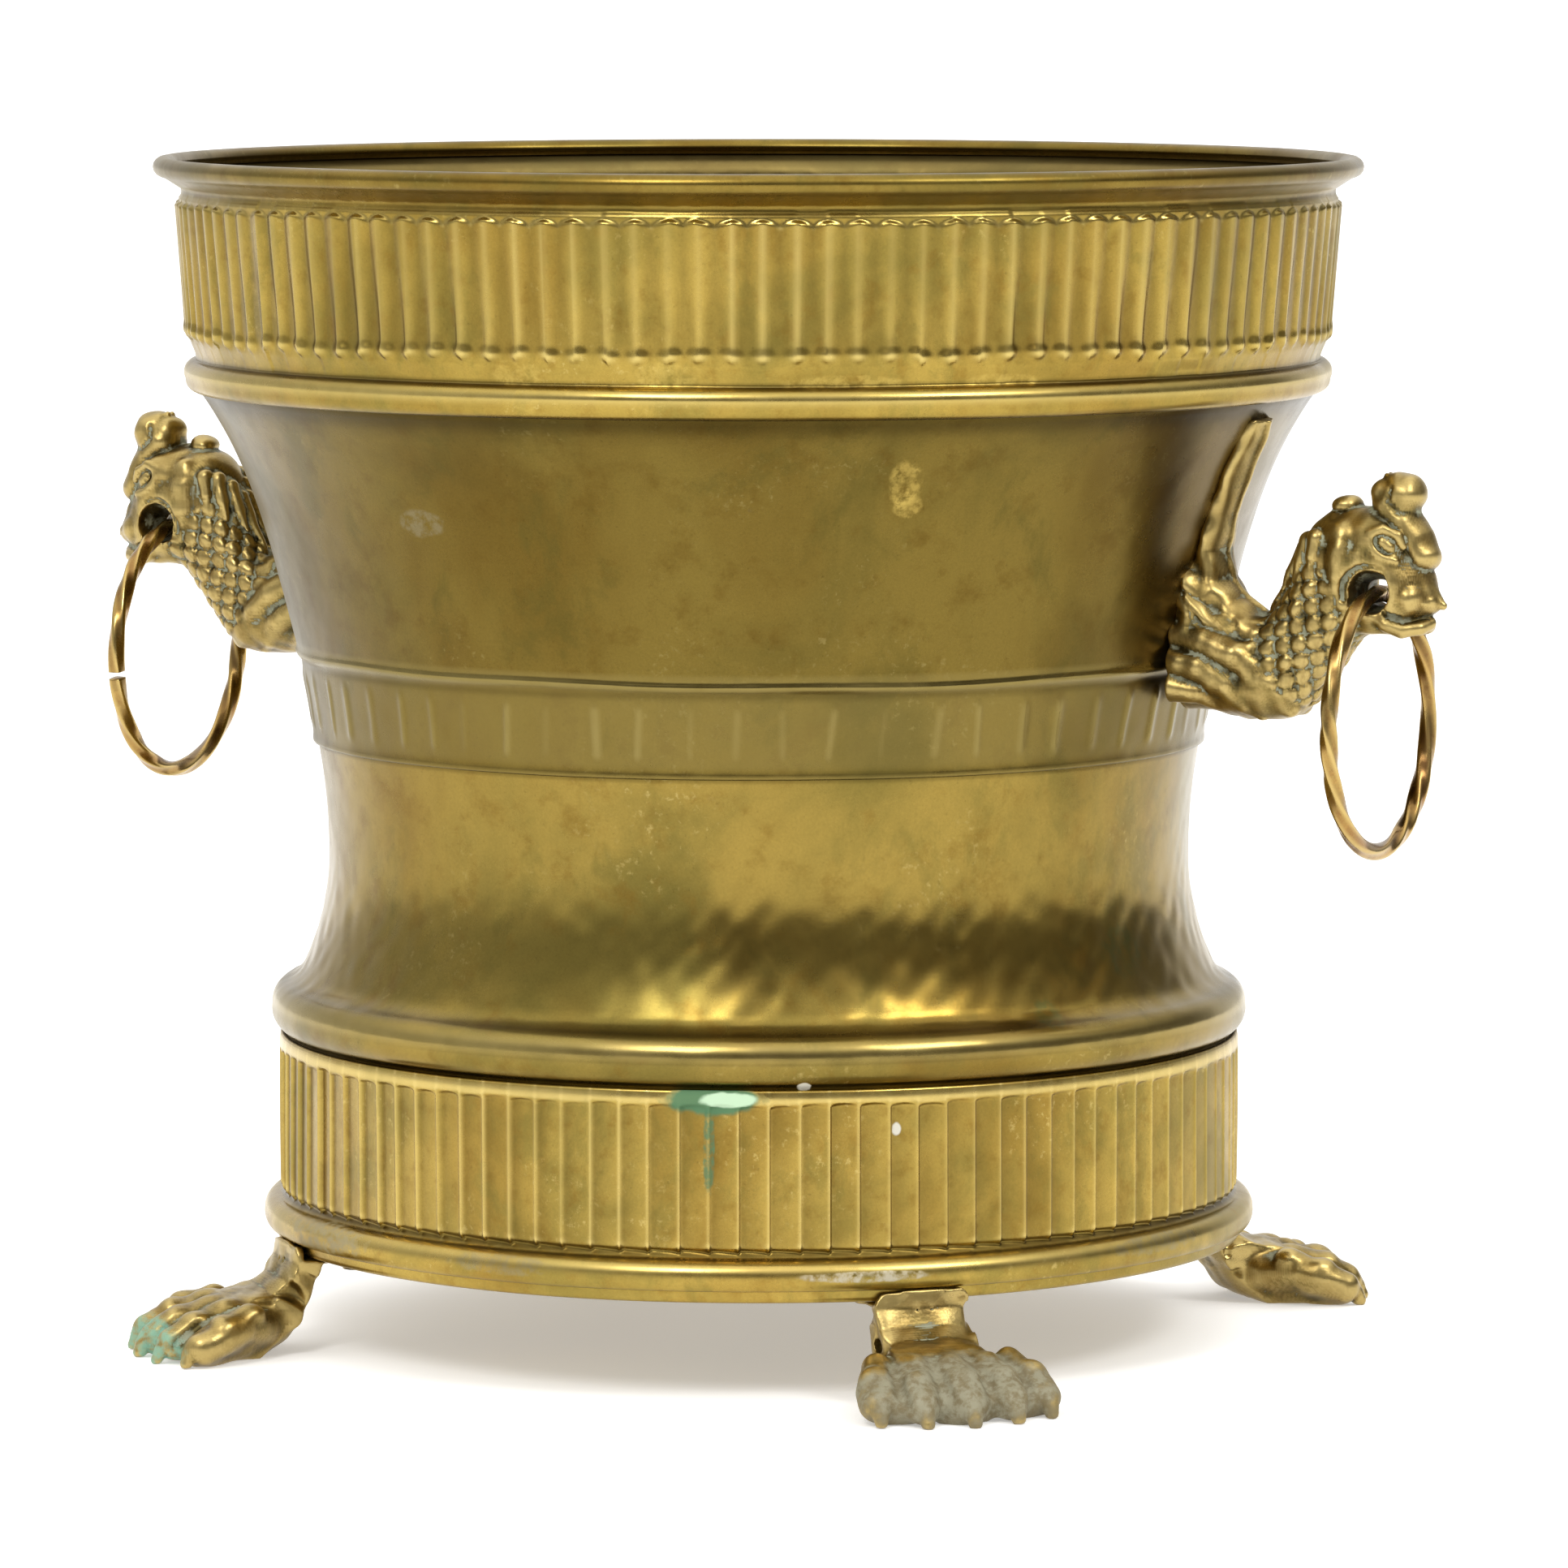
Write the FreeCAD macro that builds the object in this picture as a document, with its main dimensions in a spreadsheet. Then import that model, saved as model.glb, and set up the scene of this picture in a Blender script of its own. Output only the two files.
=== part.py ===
"""Brass planter pot: a footed jardiniere of soldered sheet with cast handles, ring pulls and paw feet.

The pot stands on z = 0 with its axis on Z.  The two handles face +X and -X, and the four feet stand
at 45 degrees to them.  Every sheet piece is drawn as one line, its outer surface from the top down,
which is thickened towards the axis and turned round Z.
"""
import FreeCAD, Part
import math
import os
import Sketcher

Vector = FreeCAD.Vector
Rotation = FreeCAD.Rotation
UP = Vector(0, 0, 1)
ALONG_Y = Vector(0, 1, 0)

SIZES = [
    # overall
    ("pot_height", 332.0, "floor to the top of the rolled rim"),
    ("rim_radius", 170.0, "outside of the rolled rim"),
    ("waist_radius", 121.84, "outside of the waist at its narrowest"),
    ("base_radius", 135.65, "outside of the lower fluted band"),
    ("sheet", 0.9, "thickness of every sheet"),
    ("solder_gap", 0.1, "room for solder between two sheets"),
    # rolled rim and upper fluted band: steps in from the rim, depths below its top
    ("roll_radius", 2.8, "outside of the roll"),
    ("wire_radius", 1.7, "wire inside the roll"),
    ("neck_step", 8.1, "rim to the neck under the roll"),
    ("neck_depth", 9.0, "top to the neck"),
    ("shoulder_step", 6.6, "rim to the band's shoulder"),
    ("shoulder_depth", 11.4, "top to the band's shoulder"),
    ("band_foot_step", 9.8, "rim to the foot of the flutes"),
    ("band_foot_depth", 51.5, "top to the foot of the flutes"),
    ("upper_notch_step", 11.9, "rim to the notch over the bead"),
    ("upper_notch_depth", 56.5, "top to the notch over the bead"),
    ("upper_bead_step", 9.1, "rim to the bead's widest line"),
    ("upper_bead_depth", 62.0, "top to the bead's widest line"),
    ("upper_bead_curve", 5.4, "radius of the bead's face"),
    ("bead_edge_step", 11.5, "rim to the band's lower edge"),
    ("bead_edge_depth", 65.4, "top to the band's lower edge"),
    # waist
    ("tuck", 3.5, "how far the waist's flange goes up past the notch"),
    ("flare_top_step", 14.6, "rim to the top of the waist's flare"),
    ("flare_top_depth", 67.7, "top to the top of the waist's flare"),
    ("flare_curve", 117.0, "radius of the flare"),
    ("spring_curve", 315.0, "radius between the straight wall and the flare"),
    ("seam_height", 140.5, "bottom plate to the crimped seam's visible edge"),
    ("seam_rise", 4.06, "outside of the seam's edge over the narrowest radius"),
    ("seam_overlap", 1.0, "lower sheet's top edge over the foot of the straight wall"),
    ("seam_curve", 242.0, "radius of the wall at the seam"),
    ("narrow_height", 108.0, "bottom plate to the narrowest line"),
    ("narrow_curve", 178.8, "radius of the wall over the narrowest line"),
    ("foot_curve", 75.0, "radius of the wall under the narrowest line"),
    ("cove_step", 7.56, "narrowest radius to the foot of the curve"),
    ("cove_height", 75.5, "bottom plate to the foot of the curve"),
    # lower bead: radii over or under the base band's, heights over the bottom plate
    ("ledge_step", 2.3, "base radius in to the top of the lower bead"),
    ("ledge_height", 72.4, "bottom plate to the top of the lower bead"),
    ("lower_bead_step", 2.15, "base radius out to the lower bead's widest line"),
    ("lower_bead_height", 65.5, "bottom plate to the lower bead's widest line"),
    ("lower_bead_curve", 8.0, "radius of the lower bead's face"),
    ("lower_notch_height", 58.5, "bottom plate to the notch under the lower bead"),
    ("waist_tuck", 12.0, "how far the waist goes down inside the base band"),
    # lower fluted band and base
    ("base_height", 27.5, "floor to the underside of the bottom plate"),
    ("band_lip_step", 0.4, "base radius in to the band's top edge"),
    ("band_lip_height", 57.8, "bottom plate to the band's top edge"),
    ("flute_top_height", 53.9, "bottom plate to the top of the lower flutes"),
    ("flute_foot_height", 17.0, "bottom plate to the foot of the lower flutes"),
    ("foot_bead_step", 4.65, "base radius out to the widest line of the lowest bead"),
    ("foot_bead_height", 7.4, "bottom plate to that line"),
    ("foot_bead_curve", 9.0, "radius of that bead's face"),
    ("fold_step", 0.6, "bead's widest line in to the fold under it"),
    ("fold_height", 4.2, "bottom plate to the fold"),
    ("plate_edge", 3.5, "turned-up edge that shows under the fold"),
    ("plate_step", 1.35, "base radius out to the bottom plate's edge"),
    ("plate_corner", 1.5, "bend of the plate's edge"),
    ("plate_rise", 10.5, "height of the plate's turned-up edge"),
    # handles and rings
    ("ring_reach", 19.5, "rim to the middle of a ring, outwards"),
    ("pivot_share", 0.4912, "seam to a ring's line, as a share of the way up to the flare's top"),
    ("left_lift", 6.5, "how much higher the left handle sits"),
    ("mouth_radius", 5.8, "hole through the head"),
    ("head_width", 23.0, "head and neck"),
    ("belly_width", 30.0, "leaf at the foot of the handle"),
    ("tail_width", 13.0, "strap up the wall"),
    ("tail_thickness", 4.0, "strap up the wall"),
    ("tail_stop", 2.3, "end of the strap below the top of the flare"),
    ("ring_radius", 35.5, "ring's middle to the middle of its bar"),
    ("bar_radius", 2.2, "half the ring's bar"),
    ("left_ring_gap", 2.0, "open ends of the left ring"),
    ("left_gap_angle", 9.0, "place of the open ends, in degrees below level"),
    ("right_ring_gap", 0.3, "closed ends of the right ring"),
    # fasteners
    ("screw_radius", 2.0, "handle screws"),
    ("screw_head_radius", 3.8, "their heads"),
    ("screw_head", 2.2, "height of their heads"),
    ("screw_depth", 6.0, "thread in the casting"),
    ("high_screw_drop", 1.0, "ring's line to the upper screw"),
    ("low_screw_drop", 15.0, "ring's line to the lower screw"),
    ("washer_radius", 4.5, "washers under the screw heads"),
    ("washer", 1.0, "thickness of the washers"),
    ("bolt_radius", 2.5, "foot screws"),
    ("bolt_head_radius", 4.8, "their heads"),
    ("bolt_head", 2.6, "height of their heads"),
    ("nut_radius", 4.9, "corners of the nuts"),
    ("nut", 4.0, "height of the nuts"),
    ("hole_clearance", 0.2, "radial room round a screw in a sheet"),
    ("thread_clearance", 0.05, "radial room round a thread"),
    # feet
    ("leg_width", 26.8, "strap of a foot"),
    ("paw_width", 40.0, "paw behind the toes"),
    ("toe_spread", 11.3, "middle of one toe to the next"),
    ("toe_length", 15.0, "half length of a toe"),
    ("toe_height", 10.5, "half height of a toe"),
    ("toe_half_width", 6.3, "half width of a toe"),
    ("tab_thickness", 3.0, "tab under the bottom plate"),
    ("tab_reach", 33.0, "tab inwards from the plate's edge"),
    ("bolt_inset", 19.0, "plate's edge to the foot screw"),
]

# shape of the waist between the seam (0) and the top of the flare (1)
STRAIGHT_FOOT = (0.125, 0.239)
STRAIGHT_TOP = (0.373, 0.548)
FLARE_FOOT = (0.566, 0.738)

# side outline of a beast's neck and head, outwards and upwards from the ring's line
BELLY_FOOT = [(-35.7, -36.0), (-24.5, -35.5), (-20.3, -32.5)]
THROAT_AND_CHIN = [(-11.2, -20.5), (-4.0, -11.1), (7.4, -12.2), (15.5, -7.3)]
NOSE_AND_CREST = [(19.5, -3.1), (15.0, 6.7), (17.0, 12.1), (14.0, 25.2), (3.2, 32.9), (-7.5, 25.7)]
NAPE_AND_SADDLE = [(-15.5, 21.2), (-20.5, 13.7), (-26.0, 1.7), (-31.7, -6.8), (-41.5, -5.3)]
TAIL_ROOT = [(-46.5, -0.3), (-48.4, 10.1)]
LEAF_TIP = [(-35.7, -36.0), (-27.0, -35.0), (-26.5, -14.0)]

# side outline of a foot's front and back, outwards from the plate's edge and up from the floor
FOOT_BACK = [(-4.6, 21.8), (-1.7, 14.2), (1.0, 9.0), (6.0, 4.4), (10.0, 0.0)]
FOOT_FRONT = [(40.0, 0.0), (38.0, 9.0), (33.0, 15.0), (26.0, 19.4), (17.5, 18.0), (9.0, 18.5), (5.0, 22.0)]
PAW_TOP = [(14.0, 0.0), (40.0, 0.0), (37.0, 8.0), (25.0, 17.0), (14.0, 15.0)]
TOES = (-2, -1, 0, 1, 2)
TOE_MIDDLE = 33.0
TOE_SETBACK = 1.2
TOE_LEVEL = 3.0

HANDLES = {"right": 0.0, "left": 180.0}
FEET = {"front_right": -45.0, "back_right": 45.0, "back_left": 135.0, "front_left": -135.0}


class Size:
    """A number together with the spreadsheet expression that gives it."""

    def __init__(self, value, text):
        self.value = value
        self.text = text

    def join(self, sign, other, swap=False):
        if not isinstance(other, Size):
            other = Size(float(other), repr(float(other)))
        first, second = (other, self) if swap else (self, other)
        work = {"+": float.__add__, "-": float.__sub__, "*": float.__mul__, "/": float.__truediv__}
        return Size(work[sign](first.value, second.value), f"({first.text} {sign} {second.text})")

    def __add__(self, other):
        return self.join("+", other)

    def __radd__(self, other):
        return self.join("+", other, swap=True)

    def __sub__(self, other):
        return self.join("-", other)

    def __rsub__(self, other):
        return self.join("-", other, swap=True)

    def __mul__(self, other):
        return self.join("*", other)

    def __rmul__(self, other):
        return self.join("*", other, swap=True)

    def __truediv__(self, other):
        return self.join("/", other)


class Sizes:
    """The driving sizes, one attribute for each row of the sheet."""


doc = FreeCAD.newDocument("planter_pot")
sheet = doc.addObject("Spreadsheet::Sheet", "sizes")
s = Sizes()
for row, (alias, value, meaning) in enumerate(SIZES, start=1):
    sheet.set(f"A{row}", alias)
    sheet.set(f"B{row}", str(value))
    sheet.set(f"C{row}", meaning)
    sheet.setAlias(f"B{row}", alias)
    setattr(s, alias, Size(value, f"sizes.{alias}"))
doc.recompute()


# ---------------------------------------------------------------- helpers

def bind(thing, **sizes):
    """Bind properties of a document object to sizes."""
    for name, size in sizes.items():
        setattr(thing, name, size.value if isinstance(size, Size) else size)
        if isinstance(size, Size):
            thing.setExpression(name, size.text)
    return thing


def place(thing, x=None, y=None, z=None):
    """Bind the coordinates of a document object's place to sizes."""
    for axis, size in (("x", x), ("y", y), ("z", z)):
        if size is not None:
            thing.setExpression(f"Placement.Base.{axis}", size.text)
    return thing


def primitive(kind, name, **sizes):
    return bind(doc.addObject(f"Part::{kind}", name), **sizes)


def fuse(name, things):
    joined = doc.addObject("Part::MultiFuse", name)
    joined.Shapes = things
    return joined


def group(name, things):
    """Several separate solids in one node."""
    together = doc.addObject("Part::Compound", name)
    together.Links = things
    return together


def cut(name, base, tool):
    left = doc.addObject("Part::Cut", name)
    left.Base = base
    left.Tool = tool
    return left


def turn(thing, azimuth):
    """Turn a finished piece round the pot's axis."""
    thing.Placement = FreeCAD.Placement(Vector(), Rotation(UP, azimuth))
    return thing


def arc_centre(start, end, radius, side):
    """Centre of the arc from start to end whose centre is on the named side of the way between them."""
    chord = end - start
    middle = (start + end) * 0.5
    reach = math.sqrt(radius ** 2 - (chord.Length / 2) ** 2)
    across = Vector(-chord.y, chord.x, 0).normalize()
    return middle + across * (reach if side == "left" else -reach)


def fix_point(sketch, geometry, end, point):
    """Bind the two coordinates of one end of an edge; a plain 0 puts it on the axis."""
    for kind, size in (("DistanceX", point[0]), ("DistanceY", point[1])):
        if not isinstance(size, Size):
            sketch.addConstraint(Sketcher.Constraint("PointOnObject", geometry, end, -2))
            continue
        index = sketch.addConstraint(Sketcher.Constraint(kind, -1, 1, geometry, end, size.value))
        sketch.setExpression(f"Constraints[{index}]", size.text)


def outline(name, points, closed):
    """Sketch in the XZ plane through points (out, up) or (out, up, arc radius, side of its centre)."""
    sketch = doc.addObject("Sketcher::SketchObject", name)
    sketch.Placement = FreeCAD.Placement(Vector(), Rotation(Vector(1, 0, 0), 90))
    steps = list(zip(points, points[1:] + points[:1] if closed else points[1:]))
    ends = []
    for first, second in steps:
        start, end = [Vector(*[c.value if isinstance(c, Size) else c for c in p[:2]], 0)
                      for p in (first, second)]
        if len(second) == 2:
            geometry = sketch.addGeometry(Part.LineSegment(start, end), False)
            ends.append((geometry, 1, 2))
            continue
        radius, side = second[2:]
        centre = arc_centre(start, end, radius.value, side)
        near, far = (start, end) if side == "left" else (end, start)
        angles = [math.atan2(p.y - centre.y, p.x - centre.x) for p in (near, far)]
        arc = Part.ArcOfCircle(Part.Circle(centre, UP, radius.value), *angles)
        geometry = sketch.addGeometry(arc, False)
        index = sketch.addConstraint(Sketcher.Constraint("Radius", geometry, radius.value))
        sketch.setExpression(f"Constraints[{index}]", radius.text)
        ends.append((geometry, 1, 2) if side == "left" else (geometry, 2, 1))
    for (geometry, begin, _), (first, _) in zip(ends, steps):
        fix_point(sketch, geometry, begin, first)
    for (geometry, _, finish), (following, begin, _) in zip(ends, ends[1:] + ends[:1] if closed else ends[1:]):
        sketch.addConstraint(Sketcher.Constraint("Coincident", geometry, finish, following, begin))
    if not closed:
        fix_point(sketch, ends[-1][0], ends[-1][2], points[-1])
    return sketch


def revolve(name, source):
    turned = doc.addObject("Part::Revolution", name)
    turned.Source = source
    turned.Axis = UP
    turned.Angle = 360
    turned.Solid = True
    return turned


def spun_sheet(name, points):
    """A sheet turned round Z from the line of its outer surface, which the thickness goes inwards from.

    The side that a thickness goes to depends on the line's first edge, so it is tried and turned round
    if the section comes out wider than its line.
    """
    thick = doc.addObject("Part::Offset2D", f"{name}_section")
    thick.Source = outline(f"{name}_line", points, closed=False)
    thick.Mode = "Skin"
    thick.Join = "Arc"
    thick.Fill = True
    bind(thick, Value=s.sheet * -1)
    thick.Source.recompute()
    thick.recompute()
    if thick.Shape.BoundBox.XMax > thick.Source.Shape.BoundBox.XMax + s.sheet.value / 2:
        bind(thick, Value=s.sheet)
    return revolve(name, thick)


def slab(name, points, width):
    """A closed side outline given a width, half on each side of the XZ plane."""
    thick = doc.addObject("Part::Extrusion", name)
    thick.Base = outline(f"{name}_outline", points, closed=True)
    thick.DirMode = "Normal"
    thick.Symmetric = True
    thick.Solid = True
    return bind(thick, LengthFwd=width)


def from_rim(step, depth):
    return (s.rim_radius - step, s.pot_height - depth)


# ---------------------------------------------------------------- places that several pieces share

seam = (s.waist_radius + s.seam_rise, s.base_height + s.seam_height)
flare_top = from_rim(s.flare_top_step, s.flare_top_depth)
upper_notch = from_rim(s.upper_notch_step, s.upper_notch_depth)
flange_radius = upper_notch[0] - s.sheet - s.solder_gap
pivot_radius = s.rim_radius + s.ring_reach
plate_radius = s.base_radius + s.plate_step
foot_bead_radius = s.base_radius + s.foot_bead_step


def on_base(step, height):
    """A point given by its radius over the base band's and its height over the bottom plate."""
    return (s.base_radius + step, s.base_height + height)


def on_waist(share):
    """A point of the upper waist's outer line, by its shares of the way out and up from the seam."""
    return tuple(low + (high - low) * part for low, high, part in zip(seam, flare_top, share))


straight_foot, straight_top, flare_foot = [on_waist(p) for p in (STRAIGHT_FOOT, STRAIGHT_TOP, FLARE_FOOT)]
slope = (straight_top[0] - straight_foot[0]) / (straight_top[1] - straight_foot[1])
lean = Size(math.cos(math.atan(slope.value)), f"cos(atan({slope.text}))")


def waist_line(grown=0.0):
    """Outer line of the upper waist from its flare down to the seam, moved outwards by grown."""
    return [(flare_top[0] + grown, flare_top[1]),
            (flare_foot[0] + grown, flare_foot[1], s.flare_curve, "left"),
            (straight_top[0] + grown, straight_top[1], s.spring_curve, "left"),
            (straight_foot[0] + grown, straight_foot[1]),
            (seam[0] + grown, seam[1], s.seam_curve, "left")]


def waist_block(name, grown=0.0):
    """Everything inside the upper waist's outer line, as one solid."""
    top = [(0, flare_top[1] + s.tuck), (flare_top[0] + grown, flare_top[1] + s.tuck)]
    return revolve(name, outline(f"{name}_outline", top + waist_line(grown) + [(0, seam[1])], closed=True))


def pivot_height(side):
    height = seam[1] + (flare_top[1] - seam[1]) * s.pivot_share
    return height + s.left_lift if side == "left" else height


def screw_places(side):
    """Out and up to each of a handle's two screws, where its axis meets the waist's outer surface."""
    for drop in (s.high_screw_drop, s.low_screw_drop):
        height = pivot_height(side) - drop
        yield (straight_foot[0] + (height - straight_foot[1]) * slope, height)


def square_to_wall(name, kind, start, length, **sizes):
    """Cylinders for all handle screws of one side, square to the wall, from start behind its surface."""
    made = []
    for number, (out, up) in enumerate(screw_places(kind), start=1):
        pin = primitive("Cylinder", f"{name}_{kind}_{number}", Height=length, **sizes)
        pin.Placement = FreeCAD.Placement(Vector(), Rotation(ALONG_Y, 90))
        pin.setExpression("Placement.Rotation.Angle", f"90 deg + atan({slope.text})")
        place(pin, x=out - start * lean, z=up + start * lean * slope)
        made.append(pin)
    return made


# ---------------------------------------------------------------- sheet pieces

roll_middle = (s.rim_radius - s.roll_radius, s.pot_height - s.roll_radius)

upper_band = spun_sheet("upper_band", [
    (roll_middle[0] - s.roll_radius, roll_middle[1]),
    (roll_middle[0], roll_middle[1] + s.roll_radius, s.roll_radius, "right"),
    (roll_middle[0] + s.roll_radius, roll_middle[1], s.roll_radius, "right"),
    (roll_middle[0], roll_middle[1] - s.roll_radius, s.roll_radius, "right"),
    from_rim(s.neck_step, s.neck_depth),
    from_rim(s.shoulder_step, s.shoulder_depth),
    from_rim(s.band_foot_step, s.band_foot_depth),
    upper_notch,
    (*from_rim(s.upper_bead_step, s.upper_bead_depth), s.upper_bead_curve, "right"),
    (*from_rim(s.bead_edge_step, s.bead_edge_depth), s.upper_bead_curve, "right"),
])

rim_wire = primitive("Torus", "rim_wire", Radius1=roll_middle[0], Radius2=s.wire_radius)
place(rim_wire, z=roll_middle[1])

flange_foot = from_rim(0, s.bead_edge_depth)[1]
upper_waist_sheet = spun_sheet("upper_waist_sheet", [
    (flange_radius, upper_notch[1] + s.tuck),
    (flange_radius, flange_foot),
] + waist_line())

lower_notch = on_base((s.band_lip_step + s.sheet + s.solder_gap) * -1, s.lower_notch_height)
behind = s.sheet + s.solder_gap * 2
inner_foot = (straight_foot[0] - behind, straight_foot[1])
overlap_top = inner_foot[1] + s.seam_overlap
inner_top = (inner_foot[0] + (overlap_top - inner_foot[1]) * slope, overlap_top)
lower_waist = spun_sheet("lower_waist", [
    inner_top,
    inner_foot,
    (seam[0] - behind, seam[1], s.seam_curve, "left"),
    (s.waist_radius, s.base_height + s.narrow_height, s.narrow_curve, "left"),
    (s.waist_radius + s.cove_step, s.base_height + s.cove_height, s.foot_curve, "left"),
    on_base(s.ledge_step * -1, s.ledge_height),
    (*on_base(s.lower_bead_step, s.lower_bead_height), s.lower_bead_curve, "right"),
    (*lower_notch, s.lower_bead_curve, "right"),
    (lower_notch[0], lower_notch[1] - s.waist_tuck),
])

lower_band = spun_sheet("lower_band", [
    on_base(s.band_lip_step * -1, s.band_lip_height),
    on_base(0, s.flute_top_height),
    on_base(0, s.flute_foot_height),
    (*on_base(s.foot_bead_step, s.foot_bead_height), s.foot_bead_curve, "right"),
    on_base(s.foot_bead_step - s.fold_step, s.fold_height),
    on_base(s.foot_bead_step - s.fold_step * 2, s.plate_edge),
    (plate_radius + s.solder_gap, s.base_height + s.plate_edge),
])

plate = spun_sheet("plate", [
    (plate_radius, s.base_height + s.plate_rise),
    (plate_radius, s.base_height + s.plate_corner),
    (plate_radius - s.plate_corner, s.base_height, s.plate_corner, "right"),
    (0, s.base_height),
])


# ---------------------------------------------------------------- handles and rings

def handle(side):
    """A cast beast's head on a scaled neck, with a strap up the wall, facing +X until it is turned."""
    up = pivot_height(side)
    within = s.waist_radius - s.sheet * 4

    def from_pivot(points):
        return [(pivot_radius + out, up + rise) for out, rise in points]

    first, last = BELLY_FOOT[0], TAIL_ROOT[-1]
    neck = [(within, up + first[1])] + from_pivot(BELLY_FOOT + THROAT_AND_CHIN + NOSE_AND_CREST)
    neck += from_pivot(NAPE_AND_SADDLE + TAIL_ROOT) + [(within, up + last[1])]
    leaf = [(within, up + LEAF_TIP[0][1])] + from_pivot(LEAF_TIP) + [(within, up + LEAF_TIP[-1][1])]
    head = slab(f"head_{side}", neck, s.head_width)
    belly = slab(f"belly_{side}", leaf, s.belly_width)

    tail_foot = up + NAPE_AND_SADDLE[-1][1]
    strip = primitive("Box", f"strip_{side}", Length=s.rim_radius, Width=s.tail_width,
                      Height=flare_top[1] - s.tail_stop - tail_foot)
    place(strip, y=s.tail_width * -0.5, z=tail_foot)
    tail = doc.addObject("Part::Common", f"tail_{side}")
    tail.Base = waist_block(f"tail_skin_{side}", s.tail_thickness)
    tail.Tool = strip

    mouth = primitive("Cylinder", f"mouth_{side}", Radius=s.mouth_radius, Height=s.belly_width * 2)
    mouth.Placement = FreeCAD.Placement(Vector(), Rotation(Vector(1, 0, 0), 90))
    place(mouth, x=pivot_radius, y=s.belly_width, z=up)
    threads = square_to_wall("thread", side, s.sheet, s.sheet + s.screw_depth * 1.1,
                             Radius=s.screw_radius + s.thread_clearance)
    tools = fuse(f"handle_tools_{side}", [waist_block(f"wall_{side}"), mouth] + threads)
    return turn(cut(f"handle_{side}", fuse(f"casting_{side}", [head, belly, tail]), tools), HANDLES[side])


def ring(side, gap, gap_middle):
    """A bar bent to a ring, open by gap at gap_middle, degrees anticlockwise from +Y towards +Z."""
    opening = math.degrees(gap.value / s.ring_radius.value)
    bar = primitive("Torus", f"ring_{side}", Radius1=s.ring_radius, Radius2=s.bar_radius)
    bar.setExpression("Angle3", f"360 - {gap.text} / {s.ring_radius.text} * 180 / pi")
    facing = Rotation(UP, 90).multiply(Rotation(Vector(1, 0, 0), 90))
    bar.Placement = FreeCAD.Placement(Vector(), facing.multiply(Rotation(UP, gap_middle + opening / 2)))
    out = pivot_radius if side == "right" else pivot_radius * -1
    return place(bar, x=out, z=pivot_height(side) - s.ring_radius)


handles = {side: handle(side) for side in HANDLES}
ring("right", s.right_ring_gap, 90)
ring("left", s.left_ring_gap, 180 + s.left_gap_angle.value)


# ---------------------------------------------------------------- handle screws and their holes

screws, washers, screw_holes = [], [], []
washer_back = s.sheet + s.solder_gap + s.washer
head_start = washer_back + s.screw_head
for side, azimuth in HANDLES.items():
    shanks = square_to_wall("shank", side, head_start, head_start + s.screw_depth, Radius=s.screw_radius)
    heads = square_to_wall("screw_head", side, head_start, s.screw_head, Radius=s.screw_head_radius)
    screws += [turn(fuse(f"screw_{side}_{i}", pair), azimuth) for i, pair in enumerate(zip(shanks, heads))]
    discs = square_to_wall("disc", side, washer_back, s.washer, Radius=s.washer_radius)
    bores = square_to_wall("bore", side, head_start, head_start, Radius=s.screw_radius + s.hole_clearance)
    washers += [turn(cut(f"washer_{side}_{i}", *pair), azimuth) for i, pair in enumerate(zip(discs, bores))]
    holes = square_to_wall("hole", side, head_start, head_start * 2, Radius=s.screw_radius + s.hole_clearance)
    screw_holes.append(turn(fuse(f"holes_{side}", holes), azimuth))
group("handle_screws", screws)
group("handle_washers", washers)
cut("upper_waist", upper_waist_sheet, fuse("screw_holes", screw_holes))


# ---------------------------------------------------------------- feet and their fasteners

bolt_out = plate_radius - s.bolt_inset
tab_foot = s.base_height - s.tab_thickness


def upright(name, radius, foot, height):
    """A cylinder on the line of a foot screw."""
    pin = primitive("Cylinder", name, Radius=radius, Height=height)
    return place(pin, x=bolt_out, z=foot)


def foot(corner):
    """A cast paw on a bent leg, with a tab that is bolted under the bottom plate."""
    edge = plate_radius + s.solder_gap
    shelf = s.base_height + s.plate_edge - s.solder_gap

    def from_edge(points):
        return [(edge + out, Size(float(up), repr(float(up)))) for out, up in points]

    side_outline = [(edge - s.tab_reach, s.base_height), (edge - s.tab_reach, tab_foot),
                    (edge + FOOT_BACK[0][0], tab_foot)]
    side_outline += from_edge(FOOT_BACK + FOOT_FRONT)
    side_outline += [(foot_bead_radius, s.base_height), (foot_bead_radius, shelf),
                     (edge, shelf), (edge, s.base_height)]
    pieces = [slab(f"leg_{corner}", side_outline, s.leg_width),
              slab(f"paw_{corner}", from_edge(PAW_TOP), s.paw_width)]
    for number, step in enumerate(TOES):
        toe = primitive("Ellipsoid", f"toe_{corner}_{number}", Radius1=s.toe_height,
                        Radius2=s.toe_length, Radius3=s.toe_half_width, Angle1=-90.0, Angle2=90.0)
        place(toe, x=edge + TOE_MIDDLE - TOE_SETBACK * step ** 2, y=s.toe_spread * step)
        toe.Placement.Base.z = TOE_LEVEL
        pieces.append(toe)
    floor = primitive("Box", f"floor_{corner}", Length=s.rim_radius * 2, Width=s.rim_radius,
                      Height=s.base_height)
    place(floor, y=s.rim_radius * -0.5, z=s.base_height * -1)
    bore = upright(f"tab_bore_{corner}", s.bolt_radius + s.hole_clearance, tab_foot - s.nut, s.base_height)
    tools = fuse(f"foot_tools_{corner}", [floor, bore])
    return turn(cut(f"foot_{corner}", fuse(f"foot_casting_{corner}", pieces), tools), FEET[corner])


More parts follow.
